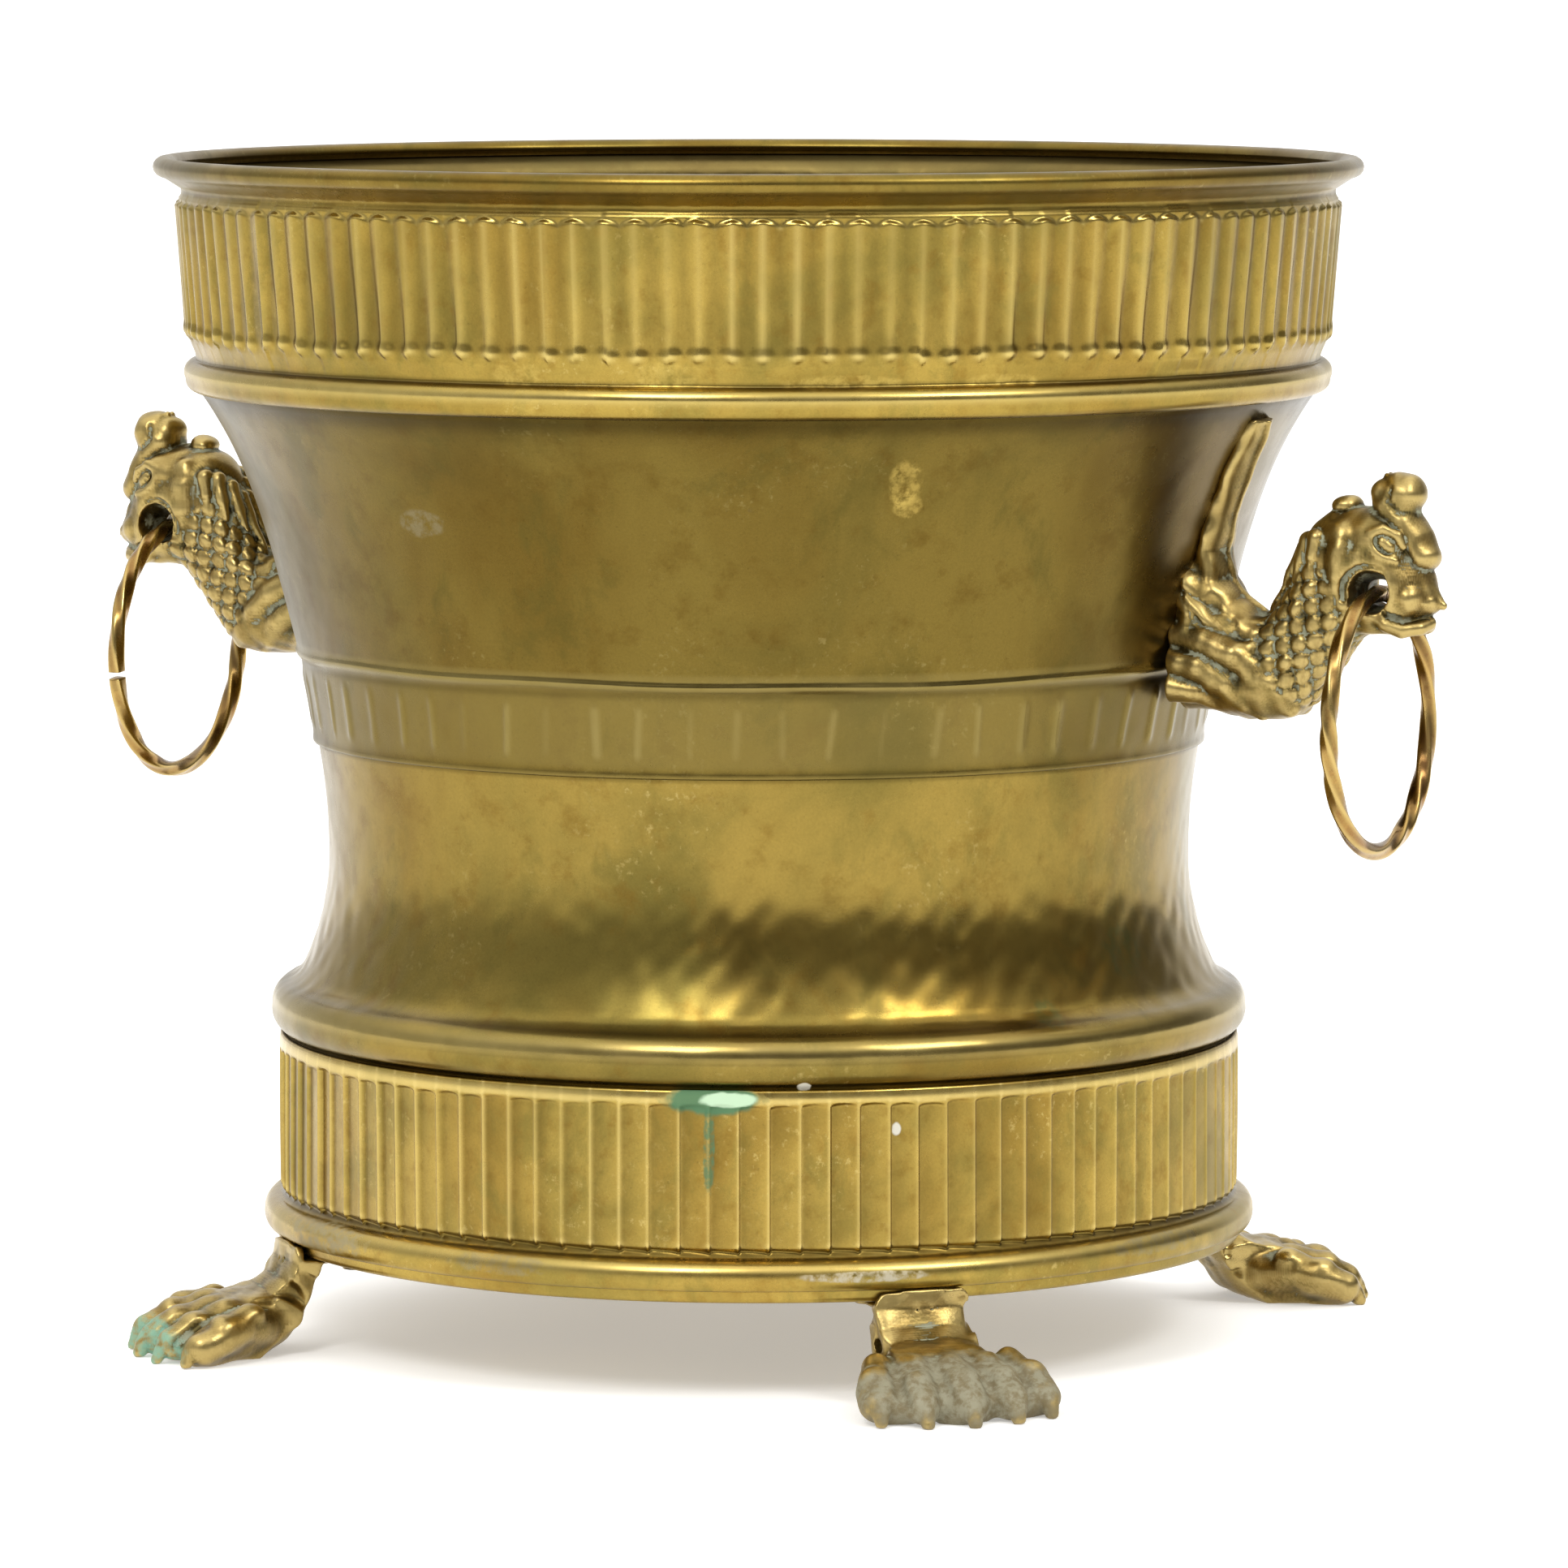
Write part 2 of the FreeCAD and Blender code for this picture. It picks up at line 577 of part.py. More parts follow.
bolts, nuts, bolt_holes = [], [], []
plate_top = s.base_height + s.sheet
for corner, azimuth in FEET.items():
    foot(corner)
    head = upright(f"bolt_head_{corner}", s.bolt_head_radius, tab_foot - s.bolt_head, s.bolt_head)
    shank = upright(f"bolt_shank_{corner}", s.bolt_radius, tab_foot - s.bolt_head,
                    s.bolt_head + s.tab_thickness + s.sheet + s.nut * 1.2)
    bolts.append(turn(fuse(f"bolt_{corner}", [head, shank]), azimuth))
    hexagon = primitive("Prism", f"hexagon_{corner}", Polygon=6, Circumradius=s.nut_radius, Height=s.nut)
    place(hexagon, x=bolt_out, z=plate_top)
    thread = upright(f"nut_thread_{corner}", s.bolt_radius + s.thread_clearance, s.base_height, s.nut * 2)
    nuts.append(turn(cut(f"nut_{corner}", hexagon, thread), azimuth))
    hole = upright(f"plate_hole_{corner}", s.bolt_radius + s.hole_clearance, tab_foot, s.nut * 2)
    bolt_holes.append(turn(group(f"plate_hole_turned_{corner}", [hole]), azimuth))
group("foot_screws", bolts)
group("foot_nuts", nuts)
cut("bottom_plate", plate, fuse("bolt_holes", bolt_holes))


# ---------------------------------------------------------------- check and write

NODES = ["rim_wire", "upper_band", "upper_waist", "lower_waist", "lower_band", "bottom_plate",
         "handle_screws", "handle_washers", "foot_screws", "foot_nuts"]
NODES += [f"{kind}_{side}" for kind in ("handle", "ring") for side in HANDLES]
NODES += [f"foot_{corner}" for corner in FEET]
SOLIDS = {"handle_screws": 4, "handle_washers": 4, "foot_screws": 4, "foot_nuts": 4}

doc.recompute()
for thing in doc.Objects:
    if "Invalid" in thing.State or "Error" in thing.State:
        raise RuntimeError(f"{thing.Name} did not build: {thing.State}")

os.makedirs("parts", exist_ok=True)
for node in NODES:
    piece = doc.getObject(node)
    piece.Label = node
    shape = piece.Shape
    if shape.isNull() or not shape.isValid():
        raise RuntimeError(f"{node} has no valid shape")
    if len(shape.Solids) != SOLIDS.get(node, 1):
        raise RuntimeError(f"{node} has {len(shape.Solids)} solids")
    shape.exportStep(f"parts/{node}.step")
    box = shape.BoundBox
    print(f"{node:18s} {shape.Volume:10.0f} mm3   x {box.XMin:8.2f} {box.XMax:8.2f}"
          f"   y {box.YMin:8.2f} {box.YMax:8.2f}   z {box.ZMin:7.2f} {box.ZMax:7.2f}")
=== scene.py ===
# %% [markdown]
# # A brass jardiniere
# A planter pot of soldered sheet brass, with a rolled rim, two fluted bands, a concave waist, cast
# beast's heads that hold twisted rings, and cast paw feet.  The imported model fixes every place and
# size.  This file makes the surfaces that a maker would see: chased flutes, pinched seams, dents,
# sculpted castings and the tarnish of old brass.  Lengths are worked out in millimetres and turned
# into metres only when a mesh is written.

import math
import bpy
import numpy as np
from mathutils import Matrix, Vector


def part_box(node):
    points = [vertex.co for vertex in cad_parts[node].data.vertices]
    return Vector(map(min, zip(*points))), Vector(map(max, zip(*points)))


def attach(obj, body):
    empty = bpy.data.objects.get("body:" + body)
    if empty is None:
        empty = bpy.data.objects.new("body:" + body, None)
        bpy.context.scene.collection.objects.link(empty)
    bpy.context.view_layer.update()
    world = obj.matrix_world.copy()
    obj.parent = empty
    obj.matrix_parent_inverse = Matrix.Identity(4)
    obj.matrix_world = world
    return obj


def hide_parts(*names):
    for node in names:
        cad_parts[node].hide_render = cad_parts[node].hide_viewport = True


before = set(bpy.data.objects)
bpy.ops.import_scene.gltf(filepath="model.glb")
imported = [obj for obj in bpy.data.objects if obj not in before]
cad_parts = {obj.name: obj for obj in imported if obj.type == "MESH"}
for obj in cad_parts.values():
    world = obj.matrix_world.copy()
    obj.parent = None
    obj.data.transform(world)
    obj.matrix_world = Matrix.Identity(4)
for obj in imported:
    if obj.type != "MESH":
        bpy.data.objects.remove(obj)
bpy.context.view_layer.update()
MM = 0.001
LAST = -1


def node_box(node):
    """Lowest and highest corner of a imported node, in millimetres."""
    low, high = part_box(node)
    return np.array(low) / MM, np.array(high) / MM


# %% [markdown]
# ## The stage
# A long lens and large soft lights.  The lens stands some two and a half metres away and a little
# over the rim, so the pot is seen nearly level, as on a table.  The lights are broad panels, which
# give wide, soft highlights on turned metal.

# %% Camera, floor and light
EYE_DISTANCE = 2.478
EYE_HEIGHT = 0.405
EYE_AZIMUTH = math.radians(26.5)
EYE_PITCH = 0.1008
EYE_TURN = math.radians(0.166)
SENSOR = 36.0
LENS = SENSOR * 10840.0 / 1932.0

eye_data = bpy.data.cameras.new("eye")
eye_data.lens = LENS
eye_data.sensor_width = SENSOR
eye_data.clip_end = 200.0
eye = bpy.data.objects.new("eye", eye_data)
eye.location = (EYE_DISTANCE * math.sin(EYE_AZIMUTH), -EYE_DISTANCE * math.cos(EYE_AZIMUTH), EYE_HEIGHT)
eye.rotation_euler = (math.pi / 2 - EYE_PITCH, 0.0, EYE_AZIMUTH - EYE_TURN)
bpy.context.scene.collection.objects.link(eye)
bpy.context.scene.camera = eye
bpy.context.scene.view_settings.view_transform = "Standard"


def panel(name, azimuth, height, distance, size, power, tint=(1.0, 1.0, 1.0)):
    """A soft light: a square panel at an azimuth from the eye's side, turned to the pot's middle."""
    light = bpy.data.lights.new(name, "AREA")
    light.shape = "RECTANGLE"
    light.size, light.size_y = size
    light.energy = power
    light.color = tint
    thing = bpy.data.objects.new(name, light)
    turn = EYE_AZIMUTH + math.radians(azimuth)
    thing.location = (distance * math.sin(turn), -distance * math.cos(turn), height)
    aim = math.atan2(height - 0.17, distance)
    thing.rotation_euler = (math.pi / 2 - aim, 0.0, turn)
    bpy.context.scene.collection.objects.link(thing)


panel("key_panel", -21.0, 1.75, 1.9, (0.55, 0.8), 20.0)
panel("fill_panel", 45.0, 1.8, 1.9, (0.75, 0.6), 19.0)

# %% [markdown]
# ## Helpers for graphs of shader nodes
# A shader is a graph.  Written link by link it is long, so a small helper makes a node, sets its
# plain values and takes links in one call.

# %% Node helper
class Graph:
    """Nodes of one tree; an input given as a socket is linked, any other value is set on its socket."""

    def __init__(self, tree):
        self.tree = tree
        tree.nodes.clear()

    def add(self, kind, inputs=None, **settings):
        """A new node with its settings and inputs."""
        node = self.tree.nodes.new(kind)
        for name, value in settings.items():
            setattr(node, name, value)
        for name, value in (inputs or {}).items():
            socket = node.inputs[name]
            if isinstance(value, bpy.types.NodeSocket):
                self.tree.links.new(value, socket)
            else:
                socket.default_value = value
        return node

    def math(self, operation, a, b=0.5, clamp=False):
        """The result of an arithmetic node."""
        return self.add("ShaderNodeMath", {0: a, 1: b}, operation=operation, use_clamp=clamp).outputs[0]

    def mix(self, share, a, b, blend="MIX"):
        """Colour a, changed towards colour b by a share."""
        node = self.add("ShaderNodeMix", {0: share, 6: a, 7: b}, data_type="RGBA", blend_type=blend)
        return node.outputs[2]

    def step(self, value, low, high):
        """0 below low, 1 above high, smooth between."""
        node = self.add("ShaderNodeMapRange", {"Value": value, "From Min": low, "From Max": high},
                        interpolation_type="SMOOTHSTEP")
        return node.outputs[0]

    def noise(self, vector, scale, detail=4.0, roughness=0.55, distortion=0.0):
        """Cloudy noise between 0 and 1, about a half."""
        node = self.add("ShaderNodeTexNoise", {"Vector": vector, "Scale": scale, "Detail": detail,
                                               "Roughness": roughness, "Distortion": distortion})
        return node.outputs[0]

    def stretch(self, vector, scale, move=(0.0, 0.0, 0.0)):
        """The coordinates scaled and moved."""
        return self.add("ShaderNodeMapping", {"Vector": vector, "Scale": scale, "Location": move}).outputs[0]


def shader_group(name, inputs, outputs):
    """An empty node group with its sockets; returns it, its graph, its input node and its output node."""
    tree = bpy.data.node_groups.new(name, "ShaderNodeTree")
    kinds = {float: "NodeSocketFloat", tuple: "NodeSocketColor", str: "NodeSocketVector"}
    for label, value in inputs.items():
        socket = tree.interface.new_socket(label, in_out="INPUT", socket_type=kinds[type(value)])
        if not isinstance(value, str):
            socket.default_value = value
    for label, kind in outputs.items():
        tree.interface.new_socket(label, in_out="OUTPUT", socket_type=kinds[kind])
    graph = Graph(tree)
    return tree, graph, graph.add("NodeGroupInput").outputs, graph.add("NodeGroupOutput").inputs


# %% [markdown]
# ## Room and floor
# Brass shows what is round it rather than its own colour.  An even room would make it flat, so the
# room has a white wall behind the pot, a pale window side, a darker side and a bright ceiling.  The
# floor is plain and pale, one tone all over.

# %% World and floor
def make_world():
    """A soft room: a bright ceiling, a white wall behind the pot, a pale side and a darker side.

    Each tone depends on how far a direction agrees with up, with the window's way or with the wall's.
    """
    world = bpy.data.worlds.new("room")
    bpy.context.scene.world = world
    world.use_nodes = True
    g = Graph(world.node_tree)
    way = g.add("ShaderNodeTexCoord").outputs["Generated"]
    up = g.add("ShaderNodeSeparateXYZ", {0: way}).outputs[2]
    window = EYE_AZIMUTH + math.radians(-120.0)
    toward = g.add("ShaderNodeVectorMath", {0: way, 1: (math.sin(window), -math.cos(window), 0.0)},
                   operation="DOT_PRODUCT").outputs["Value"]
    level = g.mix(g.step(toward, -0.2, 0.7), (0.20, 0.19, 0.17, 1.0), (0.72, 0.72, 0.72, 1.0))
    beyond = g.add("ShaderNodeVectorMath", {0: way, 1: (-math.sin(EYE_AZIMUTH), math.cos(EYE_AZIMUTH), 0.0)},
                   operation="DOT_PRODUCT").outputs["Value"]
    level = g.mix(g.step(beyond, 0.60, 0.86), level, (1.0, 1.0, 1.0, 1.0))
    tone = g.mix(g.step(up, 0.25, 0.95), level, (1.75, 1.74, 1.72, 1.0))
    back = g.add("ShaderNodeBackground", {"Color": tone, "Strength": 1.0})
    g.add("ShaderNodeOutputWorld", {"Surface": back.outputs[0]})


def make_floor():
    """A plain pale floor, one large square that glows a little, so that it stays pale in the shade."""
    mesh = bpy.data.meshes.new("floor")
    reach = 60.0
    mesh.from_pydata([(-reach, -reach, 0), (reach, -reach, 0), (reach, reach, 0), (-reach, reach, 0)],
                     [], [(0, 1, 2, 3)])
    floor = bpy.data.objects.new("floor", mesh)
    bpy.context.scene.collection.objects.link(floor)
    paint = bpy.data.materials.new("floor_paint")
    paint.use_nodes = True
    g = Graph(paint.node_tree)
    where = g.add("ShaderNodeTexCoord").outputs["Object"]
    tone = g.mix(g.noise(where, 3.0), (0.84, 0.84, 0.84, 1.0), (0.87, 0.87, 0.865, 1.0))
    skin = g.add("ShaderNodeBsdfPrincipled", {"Base Color": tone, "Roughness": 0.7, "Emission Color": tone,
                                              "Emission Strength": 0.42})
    g.add("ShaderNodeOutputMaterial", {"Surface": skin.outputs[0]})
    mesh.materials.append(paint)


make_world()
make_floor()
print("lens", round(LENS, 1), "mm, eye", round(EYE_DISTANCE, 2), "m away")

# %% [markdown]
# ## From arrays to meshes
# A spun shell is a closed section carried round the axis, so its points form a grid that joins on
# to itself both ways.  A twisted bar is a section carried along a path, which joins round the
# section and is capped at its ends.  Both become meshes through one function that takes the grid.

# %% Grid meshes
def mesh_piece(name, points, faces, shades=None):
    """A mesh object from points in millimetres and an array of quads, shaded smooth.

    shades gives named numbers for each point, which the materials read as attributes.
    """
    mesh = bpy.data.meshes.new(name)
    faces = np.asarray(faces, np.int32)
    mesh.vertices.add(len(points))
    mesh.vertices.foreach_set("co", (np.asarray(points, np.float64) * MM).astype(np.float32).ravel())
    sides = faces.shape[1]
    mesh.loops.add(faces.size)
    mesh.loops.foreach_set("vertex_index", faces.ravel())
    mesh.polygons.add(len(faces))
    mesh.polygons.foreach_set("loop_start", np.arange(0, faces.size, sides, dtype=np.int32))
    mesh.polygons.foreach_set("loop_total", np.full(len(faces), sides, np.int32))
    mesh.polygons.foreach_set("use_smooth", np.ones(len(faces), bool))
    mesh.update(calc_edges=True)
    for label, values in (shades or {}).items():
        layer = mesh.attributes.new(label, "FLOAT", "POINT")
        layer.data.foreach_set("value", np.asarray(values, np.float32).ravel())
    mesh.validate()
    piece = bpy.data.objects.new(name, mesh)
    bpy.context.scene.collection.objects.link(piece)
    return piece


def grid_faces(rows, columns, join_rows, join_columns):
    """Quads of a grid whose points are numbered row by row, joined on to itself where asked."""
    row = np.arange(rows if join_rows else rows - 1)[:, None]
    column = np.arange(columns if join_columns else columns - 1)[None, :]
    next_row = (row + 1) % rows
    next_column = (column + 1) % columns
    corners = [row * columns + column, row * columns + next_column,
               next_row * columns + next_column, next_row * columns + column]
    return np.stack([np.broadcast_to(c, np.broadcast_shapes(row.shape, column.shape)).ravel()
                     for c in corners], axis=1)


def arc(start, end, radius, side, count):
    """Points from start to end, without the start, on an arc whose centre is left or right of the way."""
    start, end = np.array(start, float), np.array(end, float)
    chord = end - start
    length = np.hypot(*chord)
    across = np.array([-chord[1], chord[0]]) / length
    reach = math.sqrt(max(radius ** 2 - (length / 2) ** 2, 0.0))
    centre = (start + end) / 2 + across * (reach if side == "left" else -reach)
    first = math.atan2(*(start - centre)[::-1])
    last = math.atan2(*(end - centre)[::-1])
    turn = (last - first) % (2 * math.pi)
    if side == "right":
        turn -= 2 * math.pi
    angle = first + turn * np.arange(1, count + 1) / count
    return centre + radius * np.stack([np.cos(angle), np.sin(angle)], axis=1)


def run(start, end, count):
    """Evenly spaced points from start to end, without the start."""
    share = np.arange(1, count + 1)[:, None] / count
    return np.array(start, float) + (np.array(end, float) - np.array(start, float)) * share


def profile(first, *moves):
    """An outline from moves: (end, count) goes straight, (end, radius, side, count) goes on an arc."""
    parts = [np.array([first], float)]
    for move in moves:
        here = parts[LAST][LAST]
        parts.append(run(here, *move) if len(move) == 2 else arc(here, *move))
    return np.concatenate(parts)


def resampled(line, spacing):
    """The line with new points, as far apart as a function of radius and height says."""
    line = np.concatenate([run(a, b, 12) for a, b in zip(line[:LAST], line[1:])])
    step = np.linalg.norm(np.diff(line, axis=0), axis=1)
    pace = np.concatenate([[0.0], np.cumsum(step / spacing(*((line[1:] + line[:LAST]) / 2).T))])
    wanted = np.linspace(0.0, pace[LAST], math.ceil(pace[LAST]) + 1)
    return np.stack([np.interp(wanted, pace, line[:, i]) for i in (0, 1)], axis=1)


def inward(line, thickness):
    """The line moved by a thickness to the right of its way, along its normals."""
    way = np.gradient(line, axis=0)
    way /= np.linalg.norm(way, axis=1, keepdims=True)
    return line + thickness * np.stack([way[:, 1], -way[:, 0]], axis=1)


# %% [markdown]
# ## Unevenness of hand-raised sheet
# Sheet that was spun, soldered and used for a century is never a true surface of revolution.  Slow
# waves of a fraction of a millimetre make the reflections wander, and planishing marks of a few
# hundredths break them up.  All sheets share one field of waves, so neighbours stay in contact.

# %% Waves
def waves(seed, count, turns, rises, angle, height):
    """A sum of sine waves over angle and height with random phases, about one unit high.

    turns is the range of whole waves round the pot and rises the range of waves per millimetre up it.
    """
    random = np.random.default_rng(seed)
    total = np.zeros(np.broadcast_shapes(angle.shape, height.shape))
    for _ in range(count):
        around = random.integers(*turns)
        up = random.uniform(*rises) * random.choice([-1.0, 1.0])
        total = total + np.sin(around * angle + 2 * math.pi * up * height + random.uniform(0, 2 * math.pi))
    return total / math.sqrt(count / 2)


def slow_dents(angle, height):
    """Out-of-roundness and broad dents, in millimetres."""
    return 0.16 * waves(11, 14, (2, 9), (0.0, 0.012), angle, height)


def planishing(angle, height, strength):
    """Fine hammer marks, in millimetres, scaled by a strength that may change with height."""
    return strength * waves(23, 60, (25, 95), (0.02, 0.11), angle, height)


# %% [markdown]
# ## Spun sheet
# A spun sheet is a section turned round the axis.  It could be a modifier on an outline, but here the
# points are worked out, because each needs its own relief, its tarnish and painted shade in hollows,
# and its wear and painted highlights on edges.

# %% Spun shells
def spun_shell(name, node, outer, thickness, angles, relief, hollow_and_shade, wear_and_highlight, inner_step=3):
    """A closed sheet: its outer line, edge, inner line and other edge, carried round the axis.

    relief(angle, height) is how far a point is moved outwards; the next function is 1 at the bottom of
    a groove and where shade is painted, and the last is 1 on an edge, for wear and painted highlight.
    The section's points follow one another at each angle in turn.
    """
    back = inward(outer, thickness)[::-1]
    back = np.concatenate([back[:1], back[inner_step:-2:inner_step], back[LAST:]])
    section = np.concatenate([outer, back])
    angle = angles[:, None]
    radius, height = section[:, 0][None, :], section[:, 1][None, :]
    moved = radius + relief(angle, height) + slow_dents(angle, height)
    points = np.stack([moved * np.cos(angle), moved * np.sin(angle),
                       np.broadcast_to(height, moved.shape)], axis=LAST).reshape(-1, 3)
    faces = grid_faces(len(angles), len(section), True, True)
    inside = np.zeros(moved.shape)
    inside[:, len(outer):] = 1.0
    shades = {"inside": inside}
    # the hollow field carries tarnish and painted shade, the worn field wear and painted highlight
    for label, field in (("hollow_and_shade", hollow_and_shade), ("wear_and_highlight", wear_and_highlight)):
        shades[label] = np.broadcast_to(field(angle, height), moved.shape) * (1 - inside)
    piece = mesh_piece(name, points, faces, shades)
    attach(piece, "root")
    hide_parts(node)
    print(name, len(faces) * 2, "triangles")
    return piece


# %% [markdown]
# ## Flutes
# The upper band has rounded reeds, and the lower one narrow ribs with a flute beside each.  Each
# reed or rib gets its own columns of points, close together round its middle line and wider apart
# away from it, so a sharp edge costs few points.  They are a little uneven, as a hand-guided tool
# leaves them.

# %% Flute columns
def smooth(value, low, high):
    """0 below low, 1 above high, with an S-shaped rise between."""
    share = np.clip((value - low) / (high - low), 0.0, 1.0)
    return share * share * (3 - 2 * share)


def flute_columns(count, radius, seed, offsets, jitter):
    """Angles of the columns, their distances in millimetres from the nearest rib and shares of the gap."""
    random = np.random.default_rng(seed)
    pitch = 2 * math.pi / count
    middle = (np.arange(count) + random.uniform(-jitter, jitter, count)) * pitch
    gap = (np.roll(middle, -1) - middle) % (2 * math.pi)
    near = np.array(offsets) / radius
    after = middle[:, None] + near[None, :]
    half = middle[:, None] + gap[:, None] / 2
    before = middle[:, None] + gap[:, None] - near[None, ::-1][:, :-1]
    angles = np.concatenate([after, half, before], axis=1).ravel()
    side = np.array(offsets)
    half_pitch = (gap * radius / 2)[:, None]
    ones = np.ones((count, 1))
    distance = np.concatenate([side * ones, half_pitch, side[None, ::-1][:, :-1] * ones], axis=1).ravel()
    number = np.repeat(np.arange(count), 2 * len(offsets))
    share = ((angles.reshape(count, -1) - middle[:, None]) / gap[:, None]).ravel()
    return angles, distance, share, number


# %% [markdown]
# ## The upper band
# From the raw edge inside the roll, the line goes over the rim, round under it to the neck, out to
# the shoulder, down the reeds, in to the notch and round the bead.  Each reed was chased over a
# former: its head is a shallow arch that catches the light, and its foot ends in a small bulb.

# %% Upper band
SHEET = 0.9
band_high = node_box("upper_band")[1]
RIM, TOP = band_high[0], band_high[2]
ROLL = 2.8
UPPER_RIBS = 120
UPPER_OFFSETS = (0.0, 0.6, 1.4, 2.4, 3.4)
LOWER_RIBS = 104
LOWER_OFFSETS = (0.0, 0.35, 0.7, 1.2, 2.3)
FLUTE_TOP = TOP - 13.7
FLUTE_FOOT = TOP - 50.6

roll_r, roll_z = RIM - ROLL, TOP - ROLL
shoulder = (RIM - 6.6, TOP - 11.4)
band_foot = (RIM - 9.8, TOP - 51.5)


def on_band(depth):
    """The point of the band's straight wall at a depth below the rim's top."""
    share = (depth - 11.4) / (51.5 - 11.4)
    return (shoulder[0] + (band_foot[0] - shoulder[0]) * share, TOP - depth)


upper_line = profile(
    (roll_r - ROLL, roll_z - 0.4),
    ((roll_r, roll_z + ROLL), ROLL, "right", 4),
    ((roll_r + ROLL, roll_z), ROLL, "right", 5),
    ((roll_r, roll_z - ROLL), ROLL, "right", 4),
    ((RIM - 8.1, TOP - 9.0), 3),
    ((RIM - 7.6, TOP - 10.2), 1),
    (shoulder, 1),
    (on_band(12.6), 1), (on_band(18.0), 7), (on_band(46.0), 3), (on_band(51.5), 6),
    ((RIM - 11.9, TOP - 56.5), 4),
    ((RIM - 9.1, TOP - 62.0), 3.6, "right", 5),
    ((RIM - 11.5, TOP - 65.4), 3.2, "right", 4),
)


def upper_band():
    """The reeded collar.

    Across a reed the surface is a flattened bell, exp(-(distance / width) ^ 2.6), that narrows from
    its arched head to its foot, where it swells into a round nose.  Above and below, the ground is level.
    """
    wall = RIM - 8.0
    angles, distance, _, number = flute_columns(UPPER_RIBS, wall, 5, UPPER_OFFSETS, 0.05)
    random = np.random.default_rng(8)
    depth = (1.15 + 0.2 * random.standard_normal(UPPER_RIBS).clip(-1.5, 1.5))[number][:, None]
    foot = (FLUTE_FOOT + 1.6 + random.uniform(-0.6, 0.6, UPPER_RIBS))[number][:, None]
    arch = (FLUTE_TOP + 1.6 + random.uniform(-0.35, 0.35, UPPER_RIBS))[number][:, None]
    light = random.uniform(0.35, 1.0, UPPER_RIBS)[number][:, None]
    away = distance[:, None]
    half = math.pi * wall / UPPER_RIBS
    scallop = arch - 1.7 * (away / half) ** 2

    def parts(height):
        """Height of the reed, from 0 to 1, and the shares of its foot's nose and of its arched head."""
        nose = np.exp(-((height - foot - 0.6) / 1.6) ** 2)
        width = 1.45 + 1.65 * smooth(height, FLUTE_FOOT + 6, FLUTE_TOP - 2) + 0.85 * nose
        out = np.hypot(away, np.maximum(foot - height, 0.0) * 1.05)
        head = 1 - smooth(height, scallop - 1.2, scallop + 0.2)
        return np.exp(-(out / width) ** 2.6) * head, nose, head

    def relief(angle, height):
        """Depth of chasing times the reed less a half, and nothing at the neck and the bead."""
        reed, nose, _ = parts(height)
        free = smooth(height, TOP - 57, TOP - 54.5) * (1 - smooth(height, TOP - 11.0, TOP - 9.5))
        return depth * (reed * (1 + 0.3 * nose) - 0.5) * free

    def hollow_and_shade(angle, height):
        """Painted shade between the reeds, in the neck under the roll and in the notch under the bead, and
        darker over the whole roll.
        """
        reed, _, head = parts(height)
        among = 0.5 * head * smooth(height, foot - 1.5, foot + 2.5)
        roll = 0.75 * smooth(height, TOP - 9.4, TOP - 7.0)
        neck = np.exp(-((height - (TOP - 9.4)) / 0.7) ** 2)
        notch = np.exp(-((height - (TOP - 56.3)) / 0.9) ** 2)
        return np.clip(among * (1 - reed) ** 2 + roll + neck + notch, 0.0, 1.0)

    def wear_and_highlight(angle, height):
        """Bright on crests, feet, arched heads, bead and shoulder, each a bell of the distance to it: partly
        wear, and painted highlight on the arched heads, the bead and the thread at the shoulder, where light
        catches them.
        """
        _, _, head = parts(height)
        crest = light * np.exp(-(away / 1.15) ** 2) * head * smooth(height, foot - 0.8, foot + 0.8)
        bulb = np.exp(-((height - foot - 0.3) / 1.0) ** 2 - (away / 1.7) ** 2)
        # painted highlight: the upward-facing arched head of each reed, the bead and the shoulder's thread
        # are painted bright where light from above catches them
        edge = np.exp(-((height - scallop + 0.25) / 0.65) ** 2) * (0.4 + 0.6 * light)
        bead = np.exp(-((height - (TOP - 59.5)) / 1.6) ** 2)
        thread = np.exp(-((height - (TOP - 11.0)) / 0.5) ** 2)
        return np.clip(0.62 * crest + 0.9 * bulb + 0.85 * edge + 0.9 * bead + 0.5 * thread, 0.0, 1.0)

    line = resampled(upper_line, lambda radius, height: np.select(
        [height > TOP - 9, height > FLUTE_TOP + 2.2, height > FLUTE_TOP - 1.8, height > FLUTE_FOOT + 5,
         height > FLUTE_FOOT - 2.5], [1.15, 0.75, 0.36, 4.2, 0.55], 0.8))
    return spun_shell("upper_band_shell", "upper_band", line, SHEET, angles, relief, hollow_and_shade, wear_and_highlight, 4)


upper_shell = upper_band()

# %% [markdown]
# ## The waist
# Two sheets make the waist.  The upper one is pinched over the lower one in a raised band with a
# ridge along its top, a thin bare edge along its foot, and short pleats hammered in between.

# %% Waist sheets
upper_low, upper_high = node_box("upper_waist")
lower_high = node_box("lower_waist")[1]
SEAM = upper_low[2]
NARROW = 121.84
seam_out = NARROW + 4.06
flare_top = (RIM - 14.6, TOP - 67.7)


def on_waist(out, up):
    """A point between the seam's edge and the flare's top, by shares of the way out and up."""
    return (seam_out + (flare_top[0] - seam_out) * out, SEAM + (flare_top[1] - SEAM) * up)


flare_foot, straight_top = on_waist(0.566, 0.738), on_waist(0.373, 0.548)
straight_foot = on_waist(0.125, 0.239)
slope = (straight_top[0] - straight_foot[0]) / (straight_top[1] - straight_foot[1])
waist_outer = profile(
    (upper_high[0], upper_high[2]),
    ((upper_high[0], flare_top[1] + 2.4), 3),
    (flare_top, 2),
    (flare_foot, 117.0, "left", 12),
    (straight_top, 315.0, "left", 7),
    (straight_foot, 14),
    ((seam_out, SEAM), 242.0, "left", 16),
)
PLEATS = 60
RIDGE = SEAM + 25.2


